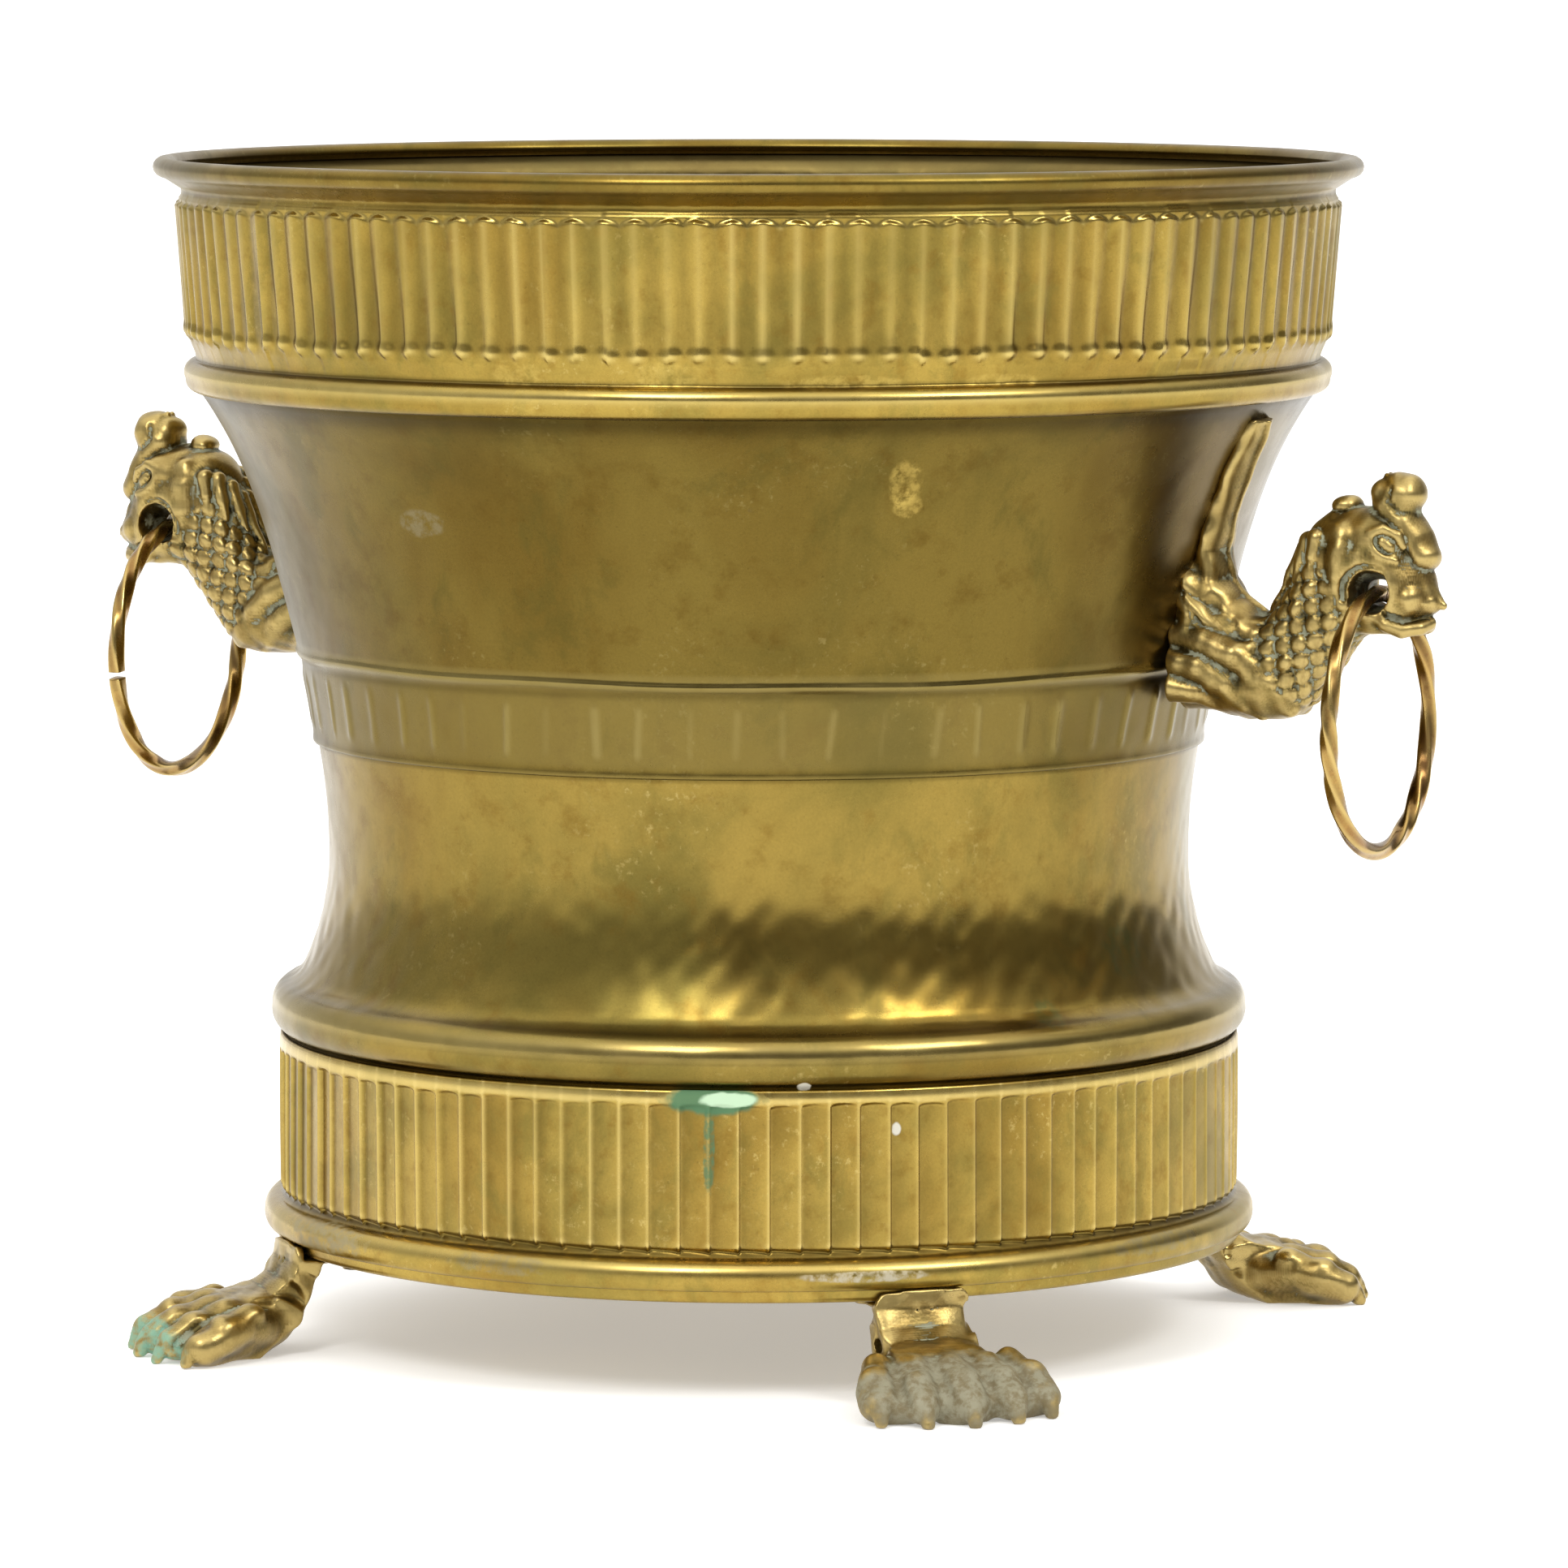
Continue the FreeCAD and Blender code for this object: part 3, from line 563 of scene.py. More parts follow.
def seam_relief(angle, height):
    """The crimped band: a ridge along its top with a crease under it, and short uneven pleats."""
    random = np.random.default_rng(31)
    pitch = 2 * math.pi / PLEATS
    turn = (angle / pitch) % PLEATS
    nearest = np.round(turn).astype(int) % PLEATS
    tall, wide, lean = (random.uniform(low, high, PLEATS)[nearest] for low, high in
                        ((0.2, 0.6), (1.1, 1.8), (-0.02, 0.11)))
    shift = random.uniform(-0.12, 0.12, PLEATS)[nearest]
    away = (turn - np.round(turn) - shift) * pitch * 128.0 - lean * (height - SEAM - 12)
    reach = smooth(height, SEAM + 3.0, SEAM + 7.0) * (1 - smooth(height, SEAM + 17.5, SEAM + 21.5))
    pleat = tall * np.exp(-(away / wide) ** 2) * reach
    wander = RIDGE + 0.35 * np.sin(3 * angle + 1.0) + 0.2 * np.sin(11 * angle)
    crease = 0.25 * np.exp(-((height - wander + 2.6) / 1.3) ** 2)
    ridge = 0.75 * np.exp(-((height - wander) / 1.2) ** 2) - crease
    sunk = -0.12 * smooth(height, SEAM + 1.5, SEAM + 5) * (1 - smooth(height, SEAM + 19, SEAM + 25))
    lip = 0.25 * (1 - smooth(height, SEAM + 0.6, SEAM + 2.0))
    return pleat + ridge + sunk + lip


def near_flange(height):
    """1 on the free wall, falling to 0 where the sheet is held inside the upper band."""
    return 1 - smooth(height, flare_top[1] - 4, flare_top[1] + 2)


def waist_shells():
    """Upper and lower sheet of the waist, with hammer marks that are strongest low down."""
    angles = np.arange(1080) * 2 * math.pi / 1080

    def upper_relief(angle, height):
        return seam_relief(angle, height) + planishing(angle, height, 0.02) * near_flange(height)

    def lower_relief(angle, height):
        strength = 0.014 + 0.05 * smooth(-height, -140.0, -118.0) * smooth(height, 97.0, 102.0)
        behind = -0.45 * smooth(height, SEAM - 0.5, SEAM + 1.5)
        return planishing(angle, height, strength) * (1 - smooth(height, SEAM - 4, SEAM)) + behind

    def upper_painted_shade(angle, height):
        # painted shade in the crease under the ridge and over the flange hidden inside the upper band
        crease = 0.5 * np.exp(-((height - RIDGE + 2.6) / 1.1) ** 2)
        return crease + smooth(height, flare_top[1] - 5, flare_top[1] + 1)

    def upper_wear_and_highlight(angle, height):
        # wear and painted highlight: brighter over the crimped band, most on its raised pleats and along the
        # ridge's bright line
        raised = np.clip(1.7 * seam_relief(angle, height), 0.0, 0.65)
        return (0.35 * smooth(height, SEAM + 1, SEAM + 4) + raised) * (height < SEAM + 28)

    def lower_painted_shade(angle, height):
        # painted shadow under the edge of the upper sheet, and painted shade in the groove above the bead and
        # on the part hidden inside the base band
        under_seam = 0.7 * smooth(height, SEAM - 1.6, SEAM - 0.3)
        ledge = 0.5 * np.exp(-((height - 99.6) / 1.1) ** 2)
        return under_seam + ledge + (1 - smooth(height, 85.6, 87.0))

    def lower_wear_and_highlight(angle, height):
        # wear and painted highlight along the upward-facing top of the bead
        return 0.9 * np.exp(-((height - 95.5) / 2.4) ** 2)

    fine = resampled(waist_outer, lambda radius, height: np.select(
        [height > flare_top[1] - 1, height > RIDGE + 3, height > RIDGE - 4, height > SEAM + 6],
        [1.6, 3.0, 0.5, 1.15], 0.7))
    upper = spun_shell("upper_waist_shell", "upper_waist", fine, SHEET, angles, upper_relief, upper_painted_shade,
                       upper_wear_and_highlight, 4)
    base = lower_high[0]
    behind = SHEET + 0.2
    inner_foot = (straight_foot[0] - behind, straight_foot[1])
    overlap = lower_high[2]
    line = profile(
        (inner_foot[0] + (overlap - inner_foot[1]) * slope, overlap - 0.1),
        (inner_foot, 1),
        ((seam_out - behind, SEAM), 242.0, "left", 5),
        ((NARROW, 135.5), 178.8, "left", 14),
        ((NARROW + 7.56, 103.0), 75.0, "left", 18),
        ((base - 4.45, 99.9), 14.0, "left", 4),
        ((base, 93.0), 6.6, "right", 7),
        ((base - 3.55, 86.0), 6.6, "right", 6),
        ((base - 3.55, 74.0), 3),
    )
    fine = resampled(line, lambda radius, height: np.select(
        [height > SEAM + 1, height > SEAM - 4, height > 102, height > 84], [5.0, 0.8, 1.6, 0.85], 4.0))
    lower = spun_shell("lower_waist_shell", "lower_waist", fine, SHEET, angles, lower_relief, lower_painted_shade,
                       lower_wear_and_highlight, 4)
    return upper, lower


upper_waist_shell, lower_waist_shell = waist_shells()

# %% [markdown]
# ## The base band
# The lower collar has narrower, sharper ribs and a heavy bead at its foot, folded under.  Its flutes
# overlap like slats, each deepest beside one rib and rising to the next.

# %% Lower band
lower_band_high = node_box("lower_band")[1]
BASE = 135.65


def lower_band():
    """The fluted base collar with its bead and fold.

    A flute's depth is one less a bell of the distance from the rib before it, times a slope that falls
    with the share of the gap crossed.  It ends at an arch above and at the groove over the bead below.
    """
    bead = BASE + 4.65
    line = profile(
        (BASE - 0.4, lower_band_high[2]),
        ((BASE, 83.2), 2), ((BASE, 77.5), 7), ((BASE, 47.0), 3), ((BASE, 41.0), 7),
        ((BASE + 0.4, 39.4), 1),
        ((bead, 34.9), 4.3, "right", 7),
        ((bead - 0.6, 31.7), 5.0, "right", 4),
        ((bead - 1.2, 31.0), 1), ((137.1, 31.0), 1),
    )
    angles, distance, share, number = flute_columns(LOWER_RIBS, BASE, 17, LOWER_OFFSETS, 0.035)
    random = np.random.default_rng(18)
    depth = (0.8 + 0.14 * random.standard_normal(LOWER_RIBS).clip(-1.5, 1.5))[number][:, None]
    top = (81.2 + random.uniform(-0.35, 0.35, LOWER_RIBS))[number][:, None]
    light = random.uniform(0.3, 1.0, LOWER_RIBS)[number][:, None]
    away = distance[:, None]
    half = math.pi * BASE / LOWER_RIBS

    def shape(height):
        after_rib = (1 - np.exp(-(away / 0.55) ** 2)) * (1 - 0.72 * share[:, None] ** 0.9)
        scallop = top - 0.9 * (away / half - 1) ** 2
        under = (1 - smooth(height, scallop - 0.5, scallop + 0.3)) * smooth(height, 40.4, 41.4)
        return after_rib * under

    def groove(height):
        return np.exp(-((height - 40.5) / 1.1) ** 2)

    def relief(angle, height):
        return -depth * 1.6 * shape(height) - 1.1 * groove(height)

    def hollow_and_shade(angle, height):
        # painted shade in each flute, darkest beside the rib before it, and in the groove over the bead
        return np.maximum(shape(height) ** 1.6, 1.6 * groove(height))

    def wear_and_highlight(angle, height):
        # wear and painted highlight: rib crests, their feet and the band over the arches, and a painted
        # highlight along the top of the bead
        rib = np.exp(-(away / 0.5) ** 2) * smooth(height, 41.5, 43.0)
        feet = np.exp(-((height - 42.8) / 0.8) ** 2 - (away / 1.1) ** 2)
        band = smooth(height, top - 0.2, top + 0.8) * (1 - smooth(height, 83.6, 85.0))
        bead_top = np.exp(-((height - 37.0) / 1.4) ** 2)
        return np.clip(0.8 * light * rib + 0.5 * feet + 0.55 * bead_top + 0.8 * band, 0, 1)

    fine = resampled(line, lambda radius, height: np.select(
        [height > 82.5, height > 78.5, height > 47, height > 39], [0.8, 0.36, 4.2, 0.5], 0.8))
    return spun_shell("lower_band_shell", "lower_band", fine, SHEET, angles, relief, hollow_and_shade, wear_and_highlight, 3)


lower_shell = lower_band()

# %% [markdown]
# ## The bottom plate
# A shallow tray, soldered inside the base band.  Its turned-up edge shows as a bright line below the
# fold.  It is a spun section too, closed at the middle with a fan of triangles on each face.

# %% Bottom plate
def bottom_plate():
    """A tray: from its turned-up edge round the corner and in to the middle, and back with a thickness."""
    plate_low, plate_high = node_box("bottom_plate")
    edge, foot = plate_high[0], plate_low[2]
    line = profile(
        (edge, plate_high[2]),
        ((edge, foot + 1.5), 6),
        ((edge - 1.5, foot), 1.5, "right", 4),
        ((edge - 12.0, foot), 6),
        ((2.0, foot), 30),
    )
    back = inward(line, SHEET)[::-1]
    section = np.concatenate([line, back])
    angles = np.arange(360) * 2 * math.pi / 360
    angle = angles[:, None]
    radius, height = section[:, 0][None, :], section[:, 1][None, :]
    sag = 0.25 * waves(41, 10, (1, 6), (0.0, 0.01), angle, radius) * (1 - smooth(radius, 60.0, 128.0))
    round_edge = slow_dents(angle, height) * smooth(radius, 60.0, 134.0)
    moved = radius + round_edge
    points = np.stack([moved * np.cos(angle), moved * np.sin(angle),
                       height + sag * (radius > 2.5)], axis=LAST)
    count = len(section)
    faces = grid_faces(len(angles), count, True, True)
    closing = count // 2 - 1
    keep = faces[:, 0] % count != closing
    points = points.reshape(-1, 3)
    under, over = len(points), len(points) + 1
    points = np.concatenate([points, [[0, 0, foot], [0, 0, foot + SHEET]]])
    step = np.arange(len(angles))
    after = (step + 1) % len(angles)
    low_fan = np.stack([step * count + closing, np.full_like(step, under), after * count + closing], axis=1)
    high_fan = np.stack([after * count + closing + 1, np.full_like(step, over),
                         step * count + closing + 1], axis=1)
    triangles = np.concatenate([np.stack([faces[keep][:, i] for i in (0, 1, 2)], axis=1),
                                np.stack([faces[keep][:, i] for i in (0, 2, 3)], axis=1),
                                low_fan, high_fan])
    flat = np.zeros(len(points))
    piece = mesh_piece("bottom_tray", points, triangles, {"hollow_and_shade": flat, "inside": flat})
    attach(piece, "root")
    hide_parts("bottom_plate")
    print("bottom_tray", len(triangles), "triangles")
    return piece


tray = bottom_plate()

# %% [markdown]
# ## The rings
# Each ring is a square bar, twisted and then bent round until its ends meet.  The section is a
# square with softened corners, carried round a circle while it turns; the bar is a little thinner
# where it was pulled.  The left ring has sprung open by a couple of millimetres.

# %% Twisted rings
def twisted_ring(side, gap, gap_middle, seed):
    """A superellipse section carried round a circle in the YZ plane, turning as it goes, with flat ends."""
    low, high = node_box(f"ring_{side}")
    bar = (high[0] - low[0]) / 2
    middle = (low + high) / 2
    mean = (high[2] - low[2]) / 2 - bar
    rows, columns, twists = 640, 28, 3.5
    opening = gap / mean
    share = np.linspace(0.0, 1.0, rows)[:, None]
    along = math.radians(gap_middle) + opening / 2 + share * (2 * math.pi - opening)
    around = np.linspace(0, 2 * math.pi, columns, endpoint=False)[None, :]
    square = (np.abs(np.cos(around)) ** 5 + np.abs(np.sin(around)) ** 5) ** (-1 / 5)
    half_side = 2.02 + 0.07 * waves(seed, 8, (2, 9), (0.0, 0.001), along, along * 0)
    turned = around + share * twists * 2 * math.pi + 0.35 * np.sin(3 * along + seed)
    out, across = half_side * square * np.cos(turned), half_side * square * np.sin(turned)
    radius = mean + 0.35 * np.sin(2 * along + seed) + out
    points = np.stack([middle[0] + across, middle[1] + radius * np.cos(along),
                       middle[2] + radius * np.sin(along)], axis=LAST).reshape(-1, 3)
    faces = grid_faces(rows, columns, False, True)
    triangles = np.concatenate([faces[:, [0, 1, 2]], faces[:, [0, 2, 3]]])
    first, last = len(points), len(points) + 1
    ends = points.reshape(rows, columns, 3)
    points = np.concatenate([points, [ends[0].mean(0), ends[LAST].mean(0)]])
    step = np.arange(columns)
    after = (step + 1) % columns
    cap_first = np.stack([after, step, np.full(columns, first)], axis=1)
    base = (rows - 1) * columns
    cap_last = np.stack([base + step, base + after, np.full(columns, last)], axis=1)
    edge = np.broadcast_to(smooth(square, 1.06, 1.16), (rows, columns))
    inner = smooth(-np.cos(turned), 0.1, 0.9)
    # painted shade on the flat faces turned in towards the ring's middle, and bright corners, wear and
    # painted highlight, dimmer on that inner side
    shades = {"hollow_and_shade": 0.8 * inner * (1 - edge), "wear_and_highlight": edge * (1 - 0.6 * inner)}
    shades = {label: np.concatenate([values.ravel(), [0.0, 0.0]]) for label, values in shades.items()}
    triangles = np.concatenate([triangles, cap_first, cap_last])
    piece = mesh_piece(f"twisted_ring_{side}", points, triangles, shades)
    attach(piece, f"ring_{side}")
    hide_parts(f"ring_{side}")
    print(piece.name, len(triangles), "triangles")
    return piece


ring_right = twisted_ring("right", 0.3, 90.0, 3)
ring_left = twisted_ring("left", 2.0, 189.0, 6)

# %% [markdown]
# ## Modelling in clay
# The castings were made from models carved in wax or wood: soft masses, creases, scales, curls.  Such
# forms are easiest to build as a block of space that holds, at each point of a grid, the distance to
# the surface.  Masses are added and melted together, creases are cut, and a skin is drawn where the
# distance is zero.  The heads and paws are alike on both sides, so only one half is worked and the
# other is its mirror image; a little slow noise at the end takes the exactness away.

# %% Clay
def melt(a, b, blend):
    """The nearer of two distances, with the corner between them filled over a width of blend."""
    near = np.maximum(blend - np.abs(a - b), 0.0) / blend
    return np.minimum(a, b) - near * near * blend / 4


def rounded(outline, rounds=2):
    """Corners of a closed outline cut off again and again, each time at a quarter of both sides."""
    outline = np.array(outline, float)
    for _ in range(rounds):
        after = np.roll(outline, -1, axis=0)
        outline = np.stack([outline * 0.75 + after * 0.25, outline * 0.25 + after * 0.75], axis=1)
        outline = outline.reshape(-1, 2)
    return outline


def outline_distance(outline, x, z):
    """Distance from points to a closed outline, below zero inside it: nearest side, sign by crossings."""
    nearest = np.full(np.broadcast_shapes(x.shape, z.shape), 1e6)
    inside = np.zeros(nearest.shape, bool)
    for (ax, az), (bx, bz) in zip(outline, np.roll(outline, -1, axis=0)):
        dx, dz = bx - ax, bz - az
        share = np.clip(((x - ax) * dx + (z - az) * dz) / (dx * dx + dz * dz + 1e-12), 0.0, 1.0)
        nearest = np.minimum(nearest, (x - ax - share * dx) ** 2 + (z - az - share * dz) ** 2)
        if az != bz:
            inside ^= ((az > z) != (bz > z)) & (x < ax + (z - az) * dx / dz)
    return np.sqrt(nearest) * np.where(inside, -1.0, 1.0)


class Clay:
    """Half a block of space on a grid, from the mirror plane y = 0 outwards, with distances in it."""

    def __init__(self, low, high, step):
        self.step = step
        self.axes = [np.arange(a, b + step, step) for a, b in zip((low[0], 0.0, low[1]), high)]
        self.field = np.full([len(a) for a in self.axes], 9.0)
        self.x, self.y, self.z = (a.reshape(s) for a, s in
                                  zip(self.axes, ((-1, 1, 1), (1, -1, 1), (1, 1, -1))))

    def near(self, points, reach):
        """The part of the block within reach of some points: its slices and coordinates."""
        spans = tuple(slice(*np.searchsorted(a, (points[:, i].min() - reach, points[:, i].max() + reach)))
                      for i, a in enumerate(self.axes))
        return spans, self.x[spans[0]], self.y[:, spans[1]], self.z[:, :, spans[2]]

    def chain(self, beads, blend=1.0, wide=1.0, cut=False):
        """Beads (x, y, z, radius) joined in a row: distance to each link less a radius that changes along it.

        wide stretches the section across the mirror plane; cut takes the chain away instead of adding it.
        """
        beads = np.array(beads, float)
        reach = beads[:, 3].max() * max(wide, 1.0) + blend + 2.5
        spans, x, y, z = self.near(beads[:, :3], reach)
        shape = np.full(np.broadcast_shapes(x.shape, y.shape, z.shape), 99.0)
        for a, b in zip(beads, beads[1:] if len(beads) > 1 else beads):
            way = b[:3] - a[:3]
            dot = (x - a[0]) * way[0] + (y - a[1]) * way[1] + (z - a[2]) * way[2]
            share = np.clip(dot / (way @ way + 1e-9), 0.0, 1.0)
            off = np.sqrt((x - a[0] - share * way[0]) ** 2 + ((y - a[1] - share * way[1]) / wide) ** 2
                          + (z - a[2] - share * way[2]) ** 2)
            shape = np.minimum(shape, off - a[3] - share * (b[3] - a[3]))
        old = self.field[spans]
        self.field[spans] = -melt(-old, shape, blend) if cut else melt(old, shape, blend)

    def lump(self, middle, radii, blend=1.5):
        """An ellipsoid: distance is the scaled radius less one, times the smallest radius."""
        middle, radii = np.array(middle, float), np.array(radii, float)
        spans, x, y, z = self.near(middle[None, :], radii.max() + blend + 2.5)
        shape = np.sqrt(((x - middle[0]) / radii[0]) ** 2 + ((y - middle[1]) / radii[1]) ** 2
                        + ((z - middle[2]) / radii[2]) ** 2)
        self.field[spans] = melt(self.field[spans], (shape - 1.0) * radii.min(), blend)

    def pillow(self, outline, width, depth, blend=1.0):
        """A side outline puffed up: its half width grows like a quarter ellipse to width at depth inside."""
        inner = -outline_distance(outline, self.x, self.z)
        size = np.minimum(depth, width)
        shape = (np.hypot(np.maximum(depth - inner, 0.0) / depth, self.y / width) - 1.0) * size
        self.field = melt(self.field, shape, blend)

    def keep(self, distance):
        """Cut away everything where a distance is above zero."""
        self.field = np.maximum(self.field, distance)

    def whole(self, lumps, seed):
        """Both halves with slow noise added, and the coordinates of the block."""
        field = np.concatenate([self.field[:, :0:-1], self.field], axis=1)
        y = np.concatenate([-self.axes[1][:0:-1], self.axes[1]])
        random = np.random.default_rng(seed)
        for _ in range(14):
            way = random.standard_normal(3)
            way *= 2 * math.pi / random.uniform(5.0, 15.0) / np.linalg.norm(way)
            along = self.x * way[0] + y.reshape(1, -1, 1) * way[1] + self.z * way[2]
            field += lumps / 2.6 * np.sin(along + random.uniform(0, 2 * math.pi))
        edge = np.ones(field.shape, bool)
        edge[1:-1, 1:-1, 1:-1] = False
        field[edge] = np.maximum(field[edge], 0.3)
        return field, (self.axes[0], y, self.axes[2])


def blurred(field, rounds):
    """The field averaged with its neighbours along each axis, again and again."""
    field = field.copy()
    for _ in range(rounds):
        for axis in range(3):
            turned = np.moveaxis(field, axis, 0)
            turned[1:-1] = (turned[:-2] + 2 * turned[1:-1] + turned[2:]) / 4
    return field


def skin(field):
    """Points and quads of the surface where the field crosses zero, in steps of the grid.

    Each cell that is crossed has a point, the mean of the crossings on its edges, and round each
    crossed edge the four cells that share it make a quad that faces out.
    """
    inside = field < 0
    strides = np.array([field.shape[1] * field.shape[2], field.shape[2], 1])
    quads, spots = [], []
    for axis in range(3):
        low = tuple(slice(0, -1) if i == axis else slice(None) for i in range(3))
        high = tuple(slice(1, None) if i == axis else slice(None) for i in range(3))
        edge = np.argwhere(inside[low] != inside[high])
        a, b = field[low][tuple(edge.T)], field[high][tuple(edge.T)]
        spot = edge.astype(float)
        spot[:, axis] += a / (a - b)
        around = []
        for one, other in ((-1, -1), (0, -1), (0, 0), (-1, 0)):
            cell = edge.copy()
            cell[:, (axis + 1) % 3] += one
            cell[:, (axis + 2) % 3] += other
            around.append(cell @ strides)
        quad = np.stack(around, axis=1)
        entering = ~inside[low][tuple(edge.T)]
        quad[entering] = quad[entering][:, ::-1]
        quads.append(quad)
        spots.append(np.repeat(spot, 4, axis=0))
    quads, spots = np.concatenate(quads), np.concatenate(spots)
    _, number = np.unique(quads.ravel(), return_inverse=True)
    count = np.bincount(number)
    points = np.stack([np.bincount(number, spots[:, i]) / count for i in range(3)], axis=1)
    return points, number.reshape(-1, 4)


def cast_piece(name, clay, lumps, seed, placed, node):
    """The clay's skin as a mesh, put in place by a function, with its hollows marked for tarnish and painted
    shade and its raised edges for wear and painted highlight.
    """
    field, axes = clay.whole(lumps, seed)
    points, quads = skin(field)
    near = np.clip(field, -1.5, 1.5)
    at = tuple(np.clip(np.rint(points).astype(int), 0, np.array(field.shape) - 1).T)
    fine = (blurred(near, 5) - near)[at]
    broad = (blurred(near, 22) - near)[at]
    local = np.stack([axes[i][0] + points[:, i] * clay.step for i in range(3)], axis=1)
    # concave places darkened, tarnish and painted shade; convex places brightened, wear and painted highlight
    shades = {"hollow_and_shade": np.clip(-fine * 5.5 - broad * 2.2, 0, 1),
              "wear_and_highlight": np.clip(fine * 4.0 + broad * 1.6, 0, 1)}
    piece = mesh_piece(name, placed(local), quads, shades)
    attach(piece, "root")
    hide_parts(node)
    print(name, len(quads) * 2, "triangles")
    return piece


# %% [markdown]
# ## The beast's heads
# Each handle is one casting: a strap up the wall, a leaf at its root, a scaled neck that rises from
# the leaf, and a head with a curled forelock that bites on a ring.  The side outline is puffed up
# first, and features are laid on it.  Lengths run outwards and upwards from the ring's line.

# %% Head outline and wall
PIVOT_OUT = band_high[0] + 19.5
RING_LINE = 215.3
LEFT_LIFT = 6.5
INNER_STOP = math.radians(50.0)
RING_ROOM = 1.1
HEAD = [(-60, -34.5), (-50.5, -33.6), (-41.0, -35.6), (-33.0, -36.0), (-26.0, -35.6), (-21.0, -33.0),
        (-16.5, -27.0), (-11.5, -20.5), (-7.5, -14.5), (-4.0, -10.8), (1.0, -10.2), (6.0, -10.5),
        (11.0, -9.0),
        (14.5, -6.0), (17.0, -4.6), (18.3, -2.6), (17.2, 0.2), (16.2, 3.0), (15.4, 6.0),
        (13.5, 9.5), (10.5, 14.5),
        (7.0, 19.0), (3.0, 22.5), (-2.0, 23.8), (-8.0, 23.4), (-13.5, 22.4), (-17.0, 20.0), (-20.3, 15.0),
        (-22.7, 9.0), (-24.6, 4.4), (-27.0, -0.6), (-30.0, -5.0), (-33.5, -7.6), (-37.5, -7.4),
        (-42.0, -4.9), (-46.5, 0.5), (-49.0, 8.0), (-60, 10.0)]
WALL = np.array([(flare_top[1] + 3, flare_top[0] + 2.2), (264.3, 155.4), (262.0, 153.4), (257.5, 150.9),
                 (252.9, 148.15), (248.3, 145.8), (243.7, 143.9), (239.1, 142.0), (234.5, 140.3),
                 (229.9, 138.9),
                 (225.4, 137.8), (220.8, 136.75), (216.2, 135.6), (211.6, 134.5), (190.9, 129.55),
                 (186.3, 128.5),
                 (181.7, 127.6), (177.0, 126.9), (172.5, 126.3), (168.0, 125.9)])[::-1]


def scales(clay, low, high):
    """Domed scales on the neck: a staggered pattern of ovals along its length and round its girth.

    A point's place along the neck and its angle round it give the nearest oval, and the surface is
    lifted by a dome over each oval and sunk between them.
    """
    along_x, along_z = 0.606, 0.795
    x, y, z = clay.x + 20.0, clay.y, clay.z + 9.0
    along = x * along_x + z * along_z + 0.0 * y
    girth = 12.5 * np.arctan2(x * along_z - z * along_x, 1.15 * y + 0.5)
    best = np.full(along.shape, 9.0)
    for shift in (0.0, 0.5):
        u = (along / 6.9 + shift) % 1.0 - 0.5
        v = (girth / 5.9 + shift) % 1.0 - 0.5
        best = np.minimum(best, (u * 6.9 / 2.75) ** 2 + (v * 5.9 / 2.15) ** 2)
    dome = np.sqrt(np.clip(1.12 - best, 0.0, 1.0))
    where = smooth(along, low, low + 2.0) * (1 - smooth(along, high - 2.0, high))
    clay.field = clay.field + where * (0.5 - 1.05 * dome)


